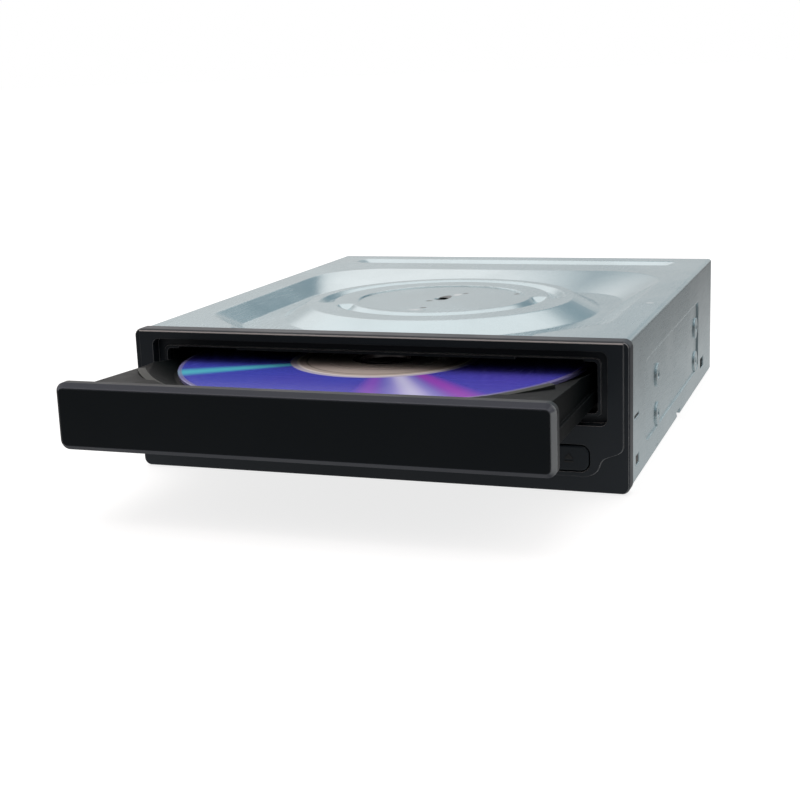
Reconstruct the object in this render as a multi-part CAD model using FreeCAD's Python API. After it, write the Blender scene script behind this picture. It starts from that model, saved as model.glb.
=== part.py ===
import FreeCAD, Part
import math
import os

# Internal DVD writer, half height, 5.25 inch bay. Millimetres, X right, Y to the back, Z up.
# The origin is the centre of the four bottom mounting holes, in the plane of the bottom.

# Case, after the bay standard for this kind of drive.
body_width = 146.0
body_height = 41.3
body_depth = 165.0
body_half = body_width / 2.0
sheet = 0.8
fold_radius = 1.2
bottom_hole_across = 139.7
hole_pitch_along = 79.25
first_hole_depth = 47.4
side_hole_low = 10.0
side_hole_rise = 11.84
mount_hole_r = 1.3

# Clearances between pieces that fit each other.
running = 0.05
free_gap = 0.3
slide_gap = 0.4

# Tray travel. Depths on the tray are counted from the case front with the tray home.
tray_open = 53.7
tray_half = body_half - 9.0
tray_deck_half = tray_half - 1.0
tray_front = -2.4
tray_length = body_depth - 3.0
tray_deck_end = 129.0
rail_low = 23.5
rail_top = 27.3
rail_width = 4.0
deck_low = 28.4
deck_high = 33.6
deck_front_high = 35.0
rear_rim_high = 32.6

# Front bezel and its openings.
bezel_width = body_width + 2.0
bezel_height = 42.0
bezel_drop = 0.35
bezel_thick = 5.0
bezel_corner_r = 2.2
bezel_edge_r = 1.0
aperture_half = tray_half + 0.8
aperture_low = 21.2
aperture_high = 35.5
aperture_lip = 0.5
recess_half = aperture_half + 3.2
recess_low = 18.5
recess_high = 38.8
recess_depth = 3.4
border_step = 0.3
border_low = 4.2
border_side = 1.7

# Tray door, the plate on the front of the tray.
door_half = recess_half - 1.0
door_low = recess_low + 0.6
door_high = 37.2
door_proud = 1.0
door_thick = 3.6
door_corner_r = 2.6
door_chamfer = 1.3

# Eject button, activity light and emergency hole in the lower strip of the bezel.
button_wide = 10.9
button_right = bezel_width / 2.0 - 11.1
button_left = button_right - button_wide
button_middle = (button_left + button_right) / 2.0
button_low = 5.8
button_high = 12.8
button_corner_r = 2.3
button_gap = 0.35
button_proud = 0.3
light_x = button_left - 11.0
light_z = (button_low + button_high) / 2.0
light_half = 1.6
light_tall = 1.1
pin_hole_x = light_x - 10.0
pin_hole_r = 0.75

# Disc and its pocket.
disc_r = 60.0
disc_bore_r = 7.5
disc_low = 31.0
disc_thick = 1.2
pocket_ledge_inner = disc_r - 1.8
pocket_r = disc_r + 1.0
pocket_top_r = pocket_r + 6.2
pocket_floor = disc_low - 0.8
small_disc_r = 40.6
small_disc_floor = 29.6
spindle_depth = 63.5

# Pressed shapes of the top cover.
press_depth = 4.0
block_deep = press_depth + 3.0
flank_wide = 8.0
dish_mouth = 46.0
dish_side = body_half - 10.0
dish_back = body_depth - 36.0
dish_foot_back = dish_back - 25.0
dish_corner_r = 24.0
boss_top_r = 43.0
boss_foot_r = boss_top_r + flank_wide
hub_plate_r = 27.0
back_groove_r = 37.2
back_groove_half = 2.5
back_groove_deep = 1.4
front_groove_r = 31.8
front_groove_half = 2.7
front_groove_deep = 1.6
groove_foot_half = 0.8
rib_half = body_half - 11.0
rib_depth = body_depth - 15.0
rib_deep = 1.2
side_press = 0.45

# Flanges under the case, and the screws that go up through them into the frame's posts.
flange_wide = 9.0
cover_screw_x = body_half - 5.6
cover_screw_front = 25.0
cover_screw_back = body_depth - 15.0
cover_screw_r = 1.3
cover_screw_long = 6.2
cover_head_r = 2.2
cover_head_high = 0.6

# Circuit board, and the sockets at the back for data and power.
board_low = 4.0
board_thick = 1.6
board_top = board_low + board_thick
board_half = tray_half - 0.5
board_front = 99.0
board_back = body_depth - 1.6
socket_left = 1.5 - board_half
socket_right = socket_left + 42.0
socket_low = board_top
socket_high = 13.2
socket_deep = 12.5
data_left = socket_left + 2.0
data_width = 14.0
power_left = data_left + 16.6
power_width = 22.4
mouth_low = 7.0
mouth_high = 12.0
mouth_deep = 7.5
tongue_low = 8.0
tongue_high = 9.1

# Inner frame that carries the tray and the drive units.
frame_wall_in = tray_half + slide_gap
frame_wall_out = frame_wall_in + 2.0
frame_reach = body_half - sheet - 0.7
frame_low = 2 * sheet
frame_top = 36.0
frame_end = body_depth - 3.0
plate_low = 10.0
plate_high = 12.0
front_deck_low = 14.0
front_deck_high = 16.0
front_deck_end = 41.5
well_half = 40.5
well_front = 45.4
well_back = frame_end - 11.0
board_post_x = 56.0
board_post_depths = (board_front + 9.0, frame_end - 15.0)
board_screw_r = 1.2

# Loading motor, belt and gears.
tooth_module = 1.0
rack_inner = -(tray_half - 14.0)
rack_back = rack_inner - 4.0
pinion_teeth = 14
drive_teeth = 36
pulley_teeth = 12
drive_depth = 21.5
drive_pulley_r = 11.0
motor_pulley_r = 3.0
belt_size = 1.2
motor_x = 16.0
motor_r = 12.0
motor_screw_reach = 10.3
motor_screw_r = 0.9
motor_shaft_r = 1.0
pitch_r_pinion = tooth_module * pinion_teeth / 2.0
pitch_r_drive = tooth_module * drive_teeth / 2.0
pitch_r_pulley = tooth_module * pulley_teeth / 2.0
drive_x = rack_inner + 1.0 + pitch_r_pinion
pulley_x = drive_x + pitch_r_drive + pitch_r_pulley
drive_low = 17.0
drive_high = 19.4
pinion_low = 24.2
pinion_high = 27.2
drive_post_r = 2.0
pulley_post_r = 1.5
pulley_low = 20.2
pulley_high = 22.6

# Traverse unit in its lowered place.
traverse_half = 39.0
traverse_front = well_front + 1.0
traverse_back = well_back - 1.0
traverse_low = 8.6
traverse_plate = 13.0
traverse_plate_high = 14.6
traverse_wall_high = 18.6
damper_x = 33.4
damper_depth = traverse_back - 6.0
damper_r = 3.7
damper_low = 8.3
damper_neck_r = 2.9
damper_pin_r = 1.4
rod_x = 26.0
rod_z = 17.6
rod_r = 1.5
screw_x = 33.4
screw_z = 17.6
screw_r = 1.4
nut_thick = 0.9
nut_face = screw_x - screw_r - free_gap
rod_front = 75.2
rod_back = traverse_back - 7.2
sled_motor_r = 3.9
sled_motor_long = 12.0
sled_motor_front = traverse_back - 22.6
sled_front = rod_front + 3.8
sled_long = 24.0
lens_depth = sled_front + 9.5
shaft_r = 1.5
table_low = 22.6
table_high = 23.8
table_r = 14.6
hub_r = 7.2
hub_high = 26.0
hub_top = 26.8
cam_pin_x = 15.0
cam_pin_z = 17.0
cam_pin_r = 1.1
cam_front = 42.2
cam_back = 44.8

# Clamp over the disc.
bridge_low = frame_top
bridge_thick = 0.8
bridge_top = bridge_low + bridge_thick
bridge_half_wide = 14.0
bridge_hole_r = 13.6
bridge_screw_r = 1.2
bridge_screw_x = frame_reach - 3.3
bridge_end = frame_reach - 0.6
bridge_dip = 0.7
dip_outer = dish_side - 3.0
dip_inner = 42.0
clamper_low = 33.9
clamper_r = 17.0
clamper_neck_r = 12.6
clamper_flange_r = 15.6
magnet_r = 8.1

front_y = -(first_hole_depth + hole_pitch_along / 2.0)
rear_y = front_y + body_depth
spindle_y = front_y + spindle_depth
disc_y = spindle_y - tray_open
gear_y = front_y + drive_depth
Z = FreeCAD.Vector(0, 0, 1)
Y = FreeCAD.Vector(0, 1, 0)
X = FreeCAD.Vector(1, 0, 0)


def depth(d):
    """Y of a place d mm behind the case front."""
    return front_y + d


def on_tray(t):
    """Y of a place on the tray, which stands part open."""
    return front_y + t - tray_open


def vec(x, y, z):
    return FreeCAD.Vector(x, y, z)


def box(x0, x1, y0, y1, z0, z1):
    return Part.makeBox(x1 - x0, y1 - y0, z1 - z0, vec(x0, y0, z0))


def rod(x, y, z0, z1, r):
    return Part.makeCylinder(r, z1 - z0, vec(x, y, z0), Z)


def rod_along_y(x, z, y0, y1, r):
    return Part.makeCylinder(r, y1 - y0, vec(x, y0, z), Y)


def rod_along_x(y, z, x0, x1, r):
    return Part.makeCylinder(r, x1 - x0, vec(x0, y, z), X)


def ring(x, y, z0, z1, r_out, r_in):
    return rod(x, y, z0, z1, r_out).cut(rod(x, y, z0 - 1, z1 + 1, r_in))


def join(shapes):
    if len(shapes) == 1:
        return shapes[0]
    return shapes[0].multiFuse(shapes[1:]).removeSplitter()


def both_sides(shape):
    """The shape and its mirror image across the middle of the drive."""
    return [shape, shape.mirror(vec(0, 0, 0), X)]


def rounded_loop(points, radii, z):
    """A closed flat outline whose corners are rounded by arcs."""
    count = len(points)
    starts = []
    ends = []
    middles = []
    for i in range(count):
        here = vec(points[i][0], points[i][1], z)
        before = vec(points[i - 1][0], points[i - 1][1], z)
        after = vec(points[(i + 1) % count][0], points[(i + 1) % count][1], z)
        into = (before - here).normalize()
        out = (after - here).normalize()
        half = into.getAngle(out) / 2.0
        reach = radii[i] / math.tan(half)
        starts.append(here + into * reach)
        ends.append(here + out * reach)
        axis = (into + out).normalize()
        middles.append(here + axis * (radii[i] / math.sin(half) - radii[i]))
    edges = []
    for i in range(count):
        edges.append(Part.Arc(starts[i], middles[i], ends[i]).toShape())
        edges.append(Part.makeLine(ends[i], starts[(i + 1) % count]))
    return Part.Wire(edges)


def plate(points, radii, z0, z1):
    """A flat plate between two heights with rounded corners."""
    face = Part.Face(rounded_loop(points, radii, z0))
    return face.extrude(vec(0, 0, z1 - z0))


def rectangle(x0, x1, y0, y1):
    return [(x0, y0), (x1, y0), (x1, y1), (x0, y1)]


def rounded_box(x0, x1, y0, y1, z0, z1, r):
    return plate(rectangle(x0, x1, y0, y1), [r] * 4, z0, z1)


def upright_plate(x0, x1, z0, z1, y0, y1, r):
    """A plate standing across the drive, rounded as seen from the front."""
    flat = plate(rectangle(x0, x1, -z1, -z0), [r] * 4, y0, y1)
    flat.rotate(vec(0, 0, 0), X, -90)
    return flat.mirror(vec(0, 0, 0), Z).mirror(vec(0, 0, 0), Z)


def fillet_edges(shape, r, wanted):
    edges = [e for e in shape.Edges if wanted(e)]
    return shape.makeFillet(r, edges)


def chamfer_edges(shape, size, wanted):
    edges = [e for e in shape.Edges if wanted(e)]
    return shape.makeChamfer(size, edges)


def spur_gear(x, y, z0, z1, teeth, turn):
    """A straight gear with flat-sided teeth, turned so that one tooth points at the given angle."""
    pitch_r = tooth_module * teeth / 2.0
    tip_r = pitch_r + 0.6 * tooth_module
    root_r = pitch_r - 1.0 * tooth_module
    step = 2 * math.pi / teeth
    points = []
    for i in range(teeth):
        middle = turn + i * step
        for r, share in ((root_r, -0.22), (tip_r, -0.10), (tip_r, 0.10), (root_r, 0.22)):
            angle = middle + share * step
            points.append(vec(x + r * math.cos(angle), y + r * math.sin(angle), z0))
    points.append(points[0])
    return Part.Face(Part.makePolygon(points)).extrude(vec(0, 0, z1 - z0))


def pan_screws(places, z_seat, head_r, head_high, shank_r, shank_long, up):
    """Identical screws whose heads sit at z_seat, heads above it, or below it when up is False."""
    made = []
    side = 1 if up else -1
    for x, y in places:
        head = Part.makeCylinder(head_r, head_high, vec(x, y, z_seat), Z * side)
        shank = Part.makeCylinder(shank_r, shank_long, vec(x, y, z_seat), Z * -side)
        z_top = z_seat + side * head_high
        screw = head.fuse(shank).removeSplitter()
        for across, along in ((1.3, 0.3), (0.3, 1.3)):
            screw = screw.cut(box(x - across, x + across, y - along, y + along, z_top - 0.4, z_top + 0.4))
        made.append(screw)
    return Part.makeCompound(made)


def save(shape, name):
    shape.exportStep("parts/" + name + ".step")


def cone(x, y, r_low, r_high, z_low, z_high):
    return Part.makeCone(r_low, r_high, z_high - z_low, vec(x, y, z_low), Z)


def groove_outline(r_mid, start, end, half, z):
    """A closed arc-shaped outline with round ends, about the spindle."""
    a0 = math.radians(start)
    a1 = math.radians(end)
    middle = (a0 + a1) / 2.0

    def at(r, a, along=0.0):
        x = r * math.cos(a) - along * math.sin(a)
        return vec(x, spindle_y + r * math.sin(a) + along * math.cos(a), z)

    outer = Part.Arc(at(r_mid + half, a0), at(r_mid + half, middle), at(r_mid + half, a1))
    far_end = Part.Arc(at(r_mid + half, a1), at(r_mid, a1, half), at(r_mid - half, a1))
    inner = Part.Arc(at(r_mid - half, a1), at(r_mid - half, middle), at(r_mid - half, a0))
    near_end = Part.Arc(at(r_mid - half, a0), at(r_mid, a0, -half), at(r_mid + half, a0))
    return Part.Wire([arc.toShape() for arc in (outer, far_end, inner, near_end)])


def round_groove(r_mid, start, end, half, deep):
    """A groove pressed along an arc round the clamp, with sloping walls."""
    over = 0.3
    flank = (half - groove_foot_half) / deep
    foot = groove_outline(r_mid, start, end, groove_foot_half, body_height - deep)
    top = groove_outline(r_mid, start, end, half + over * flank, body_height + over)
    return Part.makeLoft([foot, top], True, True)


def dish_outline(mouth, shoulder_depth, side, side_depth, back, corner_r, z):
    """The outline of the dish, open to the front between its two shoulders."""
    right = [(mouth, -6), (mouth, shoulder_depth), (side, side_depth), (side, back)]
    left = [(-x, d) for x, d in right]
    points = [(x, depth(d)) for x, d in left + right[::-1]]
    radii = [0.5, 8.0, 14.0, corner_r]
    return rounded_loop(points, radii + radii[::-1], z)


def dish_cutter():
    """The wide dish of the cover, less the round boss that stands in it over the clamp."""
    low = body_height - press_depth
    top = dish_outline(dish_mouth, 5.0, dish_side, 24.0, dish_back, dish_corner_r, body_height)
    foot = dish_outline(dish_mouth - flank_wide, 9.0, dish_side - flank_wide, 27.0, dish_foot_back,
                        dish_corner_r - 4.0, low)
    dish = Part.makeLoft([foot, top], True, True)
    boss = cone(0, spindle_y, boss_foot_r, boss_top_r, low, body_height)
    return dish.cut(boss)


def rear_rib():
    """The long rounded groove pressed across the back of the cover."""
    low = body_height - rib_deep
    y_mid = depth(rib_depth)
    top = rounded_loop(rectangle(-rib_half, rib_half, y_mid - 5.5, y_mid + 5.5), [4.0] * 4, body_height)
    foot = rounded_loop(rectangle(-rib_half + 4, rib_half - 4, y_mid - 2, y_mid + 2), [1.2] * 4, low)
    return Part.makeLoft([foot, top], True, True)


def cover_block():
    """The outer form of the cover's top before it is hollowed to sheet."""
    block = box(-body_half, body_half, front_y, rear_y, body_height - block_deep, body_height)
    block = fillet_edges(block, fold_radius,
                         lambda e: e.BoundBox.ZMin > body_height - 0.1 and e.BoundBox.YMin > front_y - 1
                         and not (e.BoundBox.YLength < 0.1 and e.BoundBox.YMin < front_y + 0.1))
    cutters = [dish_cutter(), rear_rib(),
               round_groove(back_groove_r, 8, 198, back_groove_half, back_groove_deep),
               round_groove(front_groove_r, 214, 366, front_groove_half, front_groove_deep),
               ring(0, spindle_y, body_height - 0.3, body_height + 1, hub_plate_r, 0.1)]
    for cutter in cutters:
        block = block.cut(cutter)
    return block


def side_field(x0, x1):
    """The long rounded field pressed into the side wall, as a block between two places across."""
    low, high = 6.5, 30.5
    outline = [(low, depth(24)), (low, depth(132)), (high, depth(132)), (high, depth(24))]
    field = plate(outline, [5.0, 2.5, 2.5, 5.0], 0, x1 - x0)
    field.rotate(vec(0, 0, 0), Y, -90)
    field.translate(vec(x1, 0, 0))
    return field


def side_wall():
    """The right wall of the cover, with its pressed field, slots and hole for each bay screw."""
    x_out = body_half
    x_in = x_out - sheet
    panel = box(x_in, x_out, front_y, rear_y, 0, body_height - 3)
    pressed_out = side_field(x_out - side_press, x_out + 1)
    pressed_in = side_field(x_in - side_press, x_in)
    panel = panel.fuse(pressed_in).removeSplitter().cut(pressed_out)
    for d in (first_hole_depth, first_hole_depth + hole_pitch_along):
        for z in (side_hole_low, side_hole_low + side_hole_rise):
            panel = panel.fuse(rod_along_x(depth(d), z, x_in - side_press, x_out, 3.6))
            panel = panel.cut(rod_along_x(depth(d), z, x_in - 2, x_out + 1, mount_hole_r))
    slots = [(138, 146, 4.6, 8.4), (9.5, 14.5, 3.8, 6.6), (7.2, 14.2, 17.5, 18.6),
             (83, 91, -1, 1.6), (43.0, 46.0, -1, 1.0)]
    for d0, d1, z0, z1 in slots:
        panel = panel.cut(box(x_in - 2, x_out + 1, depth(d0), depth(d1), z0, z1))
    return panel


def bottom_holes(flange, mount_r, screw_r):
    """Cuts the holes of the bay screws and of the cover screws through a right-hand flange."""
    for d in (first_hole_depth, first_hole_depth + hole_pitch_along):
        flange = flange.cut(rod(bottom_hole_across / 2.0, depth(d), -1, 3, mount_r))
    for d in (cover_screw_front, cover_screw_back):
        flange = flange.cut(rod(cover_screw_x, depth(d), -1, 3, screw_r))
    return flange


def top_cover():
    """One sheet folded over the top, both sides and the back."""
    block = cover_block()
    under = block.copy()
    under.translate(vec(0, 0, -sheet))
    half = body_half
    hollow_low = body_height - block_deep - 2
    hollow = box(-half + sheet, half - sheet, front_y - 1, rear_y - sheet, hollow_low, body_height)
    inside = under.common(hollow)
    skin = block.cut(inside)
    skin = skin.cut(box(-half + sheet, half - sheet, front_y - 1, rear_y - sheet, 0,
                        body_height - block_deep + 0.1))
    walls = both_sides(side_wall())
    for d0, d1 in ((0, 84), (90, body_depth)):
        flange = box(half - flange_wide, half, depth(d0), depth(d1), 0, sheet)
        flange = bottom_holes(flange, mount_hole_r, cover_head_r + free_gap)
        walls += both_sides(flange)
    back = box(-half + sheet, half - sheet, rear_y - sheet, rear_y, 1.8, body_height - 3)
    back = back.cut(box(socket_left - 1.0, socket_right + 1.0, rear_y - 2, rear_y + 1, 0,
                        socket_high + 0.8))
    walls.append(back)
    body = join([skin] + walls)
    centre_hole = rod(0, spindle_y, body_height - 4, body_height + 1, 2.2)
    marks = [box(2.6, 5.0, spindle_y + 2.6, spindle_y + 3.2, body_height - 0.5, body_height + 1),
             box(-4.4, -2.2, spindle_y - 4.8, spindle_y - 4.2, body_height - 0.5, body_height + 1)]
    notch = rod(1.0, depth(42), body_height - 4, body_height + 1, 0.9)
    for cutter in [centre_hole, notch] + marks:
        body = body.cut(cutter)
    return body


def bottom_cover():
    """A flat plate between the flanges; its long edges step up and lie on them."""
    edge = body_half - flange_wide - free_gap
    step_in = edge - sheet
    lip = frame_reach - 0.7
    floor = box(-edge, edge, front_y + 0.3, rear_y - sheet - 0.3, 0, sheet)
    parts = [floor]
    for d0, d1 in ((1.5, 80), (94, body_depth - 2.0)):
        strip = box(step_in, lip, depth(d0), depth(d1), sheet, 2 * sheet)
        strip = bottom_holes(strip, mount_hole_r + 0.6, cover_screw_r + free_gap)
        parts += both_sides(strip)
    body = join(parts)
    press = 0.5
    for x in (-44, 44):
        raised = rounded_box(x - 6, x + 6, depth(30), depth(135), sheet, sheet + press, 5.9)
        y0 = depth(30) + sheet
        y1 = depth(135) - sheet
        sunk = rounded_box(x - 6 + sheet, x + 6 - sheet, y0, y1, -1, press, 5.1)
        body = body.fuse(raised).cut(sunk)
    raised = rod(0, depth(50), sheet, sheet + press, 26)
    sunk = rod(0, depth(50), -1, press, 25.2)
    body = body.fuse(raised).cut(sunk)
    return body


def cover_screws():
    depths = (cover_screw_front, cover_screw_back)
    places = [(s * cover_screw_x, depth(d)) for s in (-1, 1) for d in depths]
    return pan_screws(places, sheet, cover_head_r, cover_head_high, cover_screw_r, cover_screw_long,
                      False)


def clip(x_out):
    """A springy clip behind the bezel whose tooth snaps into a window of the side wall."""
    arm = box(x_out - 2.4, x_out - 0.9, depth(0), depth(15.5), 3.9, 6.5)
    tooth = box(x_out - 1.0, x_out - 0.15, depth(10), depth(14), 4.1, 6.3)
    upper_arm = box(x_out - 2.4, x_out - 0.9, depth(0), depth(15), 16.0, 20.0)
    upper_tooth = box(x_out - 1.0, x_out - 0.15, depth(7.6), depth(13.8), 17.7, 18.4)
    return join([arm, tooth, upper_arm, upper_tooth])


def bezel_border():
    """The stepped border of the bezel face, with its curve under the eject button."""
    half = bezel_width / 2.0
    y0 = depth(-bezel_thick) - 1
    y1 = depth(-bezel_thick) + border_step
    curve = Part.BSplineCurve()
    side = half - border_side
    turn = button_right + 3.0
    curve.interpolate([vec(side, y0, 14.0), vec(side - 1.0, y0, 11.2), vec(side - 3.7, y0, 10.0),
                       vec(turn + 0.5, y0, 8.6), vec(turn - 0.5, y0, 6.2),
                       vec(turn - 2.5, y0, border_low + 0.4), vec(turn - 5.9, y0, border_low)])
    above = bezel_height + 1.0
    corners = [vec(turn - 5.9, y0, border_low), vec(3.3 - side, y0, border_low),
               vec(-side, y0, border_low + 3.3), vec(-side, y0, above), vec(side, y0, above),
               vec(side, y0, 14.0)]
    face = Part.Face(Part.Wire([curve.toShape()] + Part.makePolygon(corners).Edges))
    kept = face.extrude(vec(0, y1 - y0, 0))
    strip = box(-half - 1, half + 1, y0, y1, -bezel_drop - 1, bezel_height + 1)
    return strip.cut(kept)


def front_bezel():
    half = bezel_width / 2.0
    low = -bezel_drop
    high = low + bezel_height
    y_face = depth(-bezel_thick)
    body = upright_plate(-half, half, low, high, y_face, depth(0), bezel_corner_r)
    body = fillet_edges(body, bezel_edge_r, lambda e: e.BoundBox.YMax < y_face + 0.01)
    y_floor = y_face + recess_depth
    recess = upright_plate(-recess_half, recess_half, recess_low, recess_high, y_face - 1, y_floor, 2.0)
    lip_half = aperture_half + 0.9
    lip = upright_plate(-lip_half, lip_half, aperture_low - 0.9, aperture_high + 0.9,
                        y_floor - aperture_lip, y_floor, 1.6)
    aperture = upright_plate(-aperture_half, aperture_half, aperture_low, aperture_high,
                             y_face - 1, depth(1), 1.2)
    notches = [box(x0, x1, y_face + 1, depth(1), aperture_high - 1, aperture_high + 0.5)
               for x0, x1 in ((-61, -42), (42, 61))]
    button = upright_plate(button_left - button_gap, button_right + button_gap, button_low - button_gap,
                           button_high + button_gap, y_face - 1, depth(1), button_corner_r + button_gap)
    light = box(light_x - light_half, light_x + light_half, y_face - 1, depth(1),
                light_z - light_tall / 2.0, light_z + light_tall / 2.0)
    pin_hole = rod_along_y(pin_hole_x, light_z, y_face - 1, depth(1), pin_hole_r)
    body = body.cut(recess).fuse(lip)
    for cutter in notches + [aperture, button, light, pin_hole, bezel_border()]:
        body = body.cut(cutter)
    return join([body] + both_sides(clip(body_half)))


def led_lens():
    front = box(light_x - light_half, light_x + light_half, depth(-bezel_thick), depth(0),
                light_z - light_tall / 2.0, light_z + light_tall / 2.0)
    pipe = box(light_x - light_half - 0.8, light_x + light_half + 0.8, depth(0), depth(1.0),
               light_z - 1.6, light_z + 1.6)
    stem = rod_along_y(light_x, light_z, depth(1.0), depth(3.2), 1.3)
    return join([front, pipe, stem])


def eject_button():
    """The key with its flange behind the bezel and the stem that pushes the switch."""
    y_front = depth(-bezel_thick - button_proud)
    key = upright_plate(button_left, button_right, button_low, button_high, y_front, depth(0.3),
                        button_corner_r)
    key = fillet_edges(key, 0.5, lambda e: e.BoundBox.YMax < y_front + 0.01)
    flange = upright_plate(button_left - 0.9, button_right + 0.9, button_low - 0.9, button_high + 0.9,
                           depth(0.3), depth(1.3), button_corner_r)
    stem = rod_along_y(button_middle, light_z, depth(1.3), depth(2.2), 1.6)
    return join([key, flange, stem])


def disc_tray():
    """The moulded tray: flared disc pocket, side rails, underside rack and open middle slot."""
    points = [(tray_front, rail_top), (tray_front, deck_front_high), (3.0, deck_front_high),
              (34.0, deck_high), (tray_length, deck_high), (tray_length, rail_top)]
    corners = [vec(-tray_deck_half, on_tray(t), z) for t, z in points]
    corners.append(corners[0])
    body = Part.Face(Part.makePolygon(corners)).extrude(vec(2 * tray_deck_half, 0, 0))
    rails = both_sides(box(tray_half - rail_width, tray_half, on_tray(tray_front), on_tray(tray_length),
                           rail_low, rail_top))
    body = body.fuse(rails[0]).fuse(rails[1])
    body = body.fuse(box(-tray_half + 1, tray_half - 1, on_tray(tray_front), on_tray(tray_front + 2.4),
                         rail_low, rail_top))
    body = body.removeSplitter()
    under = box(-tray_half + rail_width, tray_half - rail_width, on_tray(tray_front + 2.4),
                on_tray(tray_length) + 1, rail_low - 1, deck_low)
    body = body.cut(under)
    reach = 2.4
    flare = cone(0, disc_y, pocket_r, pocket_r + reach * (pocket_top_r - pocket_r),
                 disc_low, disc_low + reach * (deck_high - disc_low))
    well = rod(0, disc_y, disc_low, disc_low + 20, pocket_r)
    floor = rod(0, disc_y, pocket_floor, disc_low + 1, pocket_ledge_inner)
    small = rod(0, disc_y, small_disc_floor, disc_low + 1, small_disc_r)
    for cutter in (well, flare, floor, small):
        body = body.cut(cutter)
    hub_hole = rod(0, disc_y, rail_low, disc_low + 20, 19.0)
    slot = box(-22.0, 22.0, disc_y, on_tray(122.0), rail_low, disc_low + 20)
    rear_gap = box(-44.0, 44.0, on_tray(tray_deck_end), on_tray(tray_length) + 1, 20, 40)
    tails = box(-tray_half, tray_half, on_tray(tray_deck_end), on_tray(tray_length) + 1, disc_low, 40)
    rear_low = box(-40.0, 40.0, on_tray(110.0), on_tray(tray_deck_end) + 1, rear_rim_high, 40)
    for cutter in (hub_hole, slot, rear_gap, tails, rear_low):
        body = body.cut(cutter)
    ribs = [box(-tray_half + rail_width, tray_half - rail_width, on_tray(t), on_tray(t) + 1.2,
                rail_top, deck_low) for t in (14.0, 26.0)]
    ribs += both_sides(box(30.0, 31.2, on_tray(8.0), on_tray(120.0), rail_top, deck_low))
    rack = box(rack_back, rack_inner, on_tray(16.0), on_tray(tray_length), rail_low + 0.4, deck_low)
    teeth = rack_teeth()
    return join([body, rack, teeth] + ribs)


def rack_teeth():
    """Teeth along the whole rack, spaced to mesh with the pinion."""
    pitch = math.pi * tooth_module
    z0 = rail_low + 0.6
    z1 = rail_low + 3.4
    made = []
    count = int((tray_length - 18.0) / pitch)
    pinion_t = drive_depth + tray_open
    first = pinion_t % pitch + pitch / 2.0
    while first < 17.5:
        first += pitch
    for i in range(count):
        t = first + i * pitch
        if t + 1.0 > tray_length:
            break
        y = on_tray(t)
        points = [vec(rack_inner - 0.1, y - 0.72, z0), vec(rack_inner + 1.6, y - 0.35, z0),
                  vec(rack_inner + 1.6, y + 0.35, z0), vec(rack_inner - 0.1, y + 0.72, z0)]
        points.append(points[0])
        made.append(Part.Face(Part.makePolygon(points)).extrude(vec(0, 0, z1 - z0)))
    return Part.makeCompound(made)


def tray_door():
    """The door plate with chamfered edges, and hooks that hold it to the tray front."""
    y0 = on_tray(-bezel_thick - door_proud)
    y1 = y0 + door_thick
    body = upright_plate(-door_half, door_half, door_low, door_high, y0, y1, door_corner_r)
    body = chamfer_edges(body, door_chamfer, lambda e: e.BoundBox.YMax < y0 + 0.01)
    return body


def disc():
    """A recordable disc: clamping zone, stacking ring and data zone in one moulding."""
    body = ring(0, disc_y, disc_low, disc_low + disc_thick, disc_r, disc_bore_r)
    body = fillet_edges(body, 0.25, lambda e: abs(e.BoundBox.XLength - 2 * disc_r) < 0.01)
    groove = ring(0, disc_y, disc_low + disc_thick - 0.12, disc_low + disc_thick + 1, 17.6, 16.6)
    return body.cut(groove)


def side_frame():
    """One moulded side of the frame with the channel that guides the tray rail."""
    y0 = depth(1.0)
    y1 = depth(frame_end)
    wall_in = box(frame_wall_in, frame_wall_out, y0, y1, plate_low, frame_top)
    cap = box(frame_wall_in, frame_reach, y0, y1, frame_top - 1.6, frame_top)
    skirt = box(frame_reach - 2.2, frame_reach, y0 + 16, y1, frame_low, plate_high)
    foot = box(well_half, frame_reach, y0 + 11, y1, plate_low, plate_high)
    ledge_top = rail_low - free_gap
    ledge = box(tray_half - 3.0, frame_wall_in, y0, y1 - 40, ledge_top - 2.4, ledge_top)
    parts = [wall_in, cap, skirt, foot, ledge]
    for d in (4.0, 54.0, 94.0):
        parts.append(box(tray_deck_half + slide_gap, frame_wall_in, depth(d), depth(d + 9),
                         rail_top + slide_gap, rail_top + slide_gap + 1.6))
    for i in range(7):
        y = depth(20 + i * 22.5)
        parts.append(box(frame_wall_out, frame_reach, y, y + 1.2, plate_high, frame_top - 1.6))
    for d in (cover_screw_front, cover_screw_back):
        parts.append(ring(cover_screw_x, depth(d), frame_low, plate_low, 3.0, cover_screw_r))
    return join(parts)


def board_posts(sign):
    posts = []
    for d in board_post_depths:
        posts.append(ring(sign * board_post_x, depth(d), board_top, plate_low, 3.0, board_screw_r))
    return posts


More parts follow.
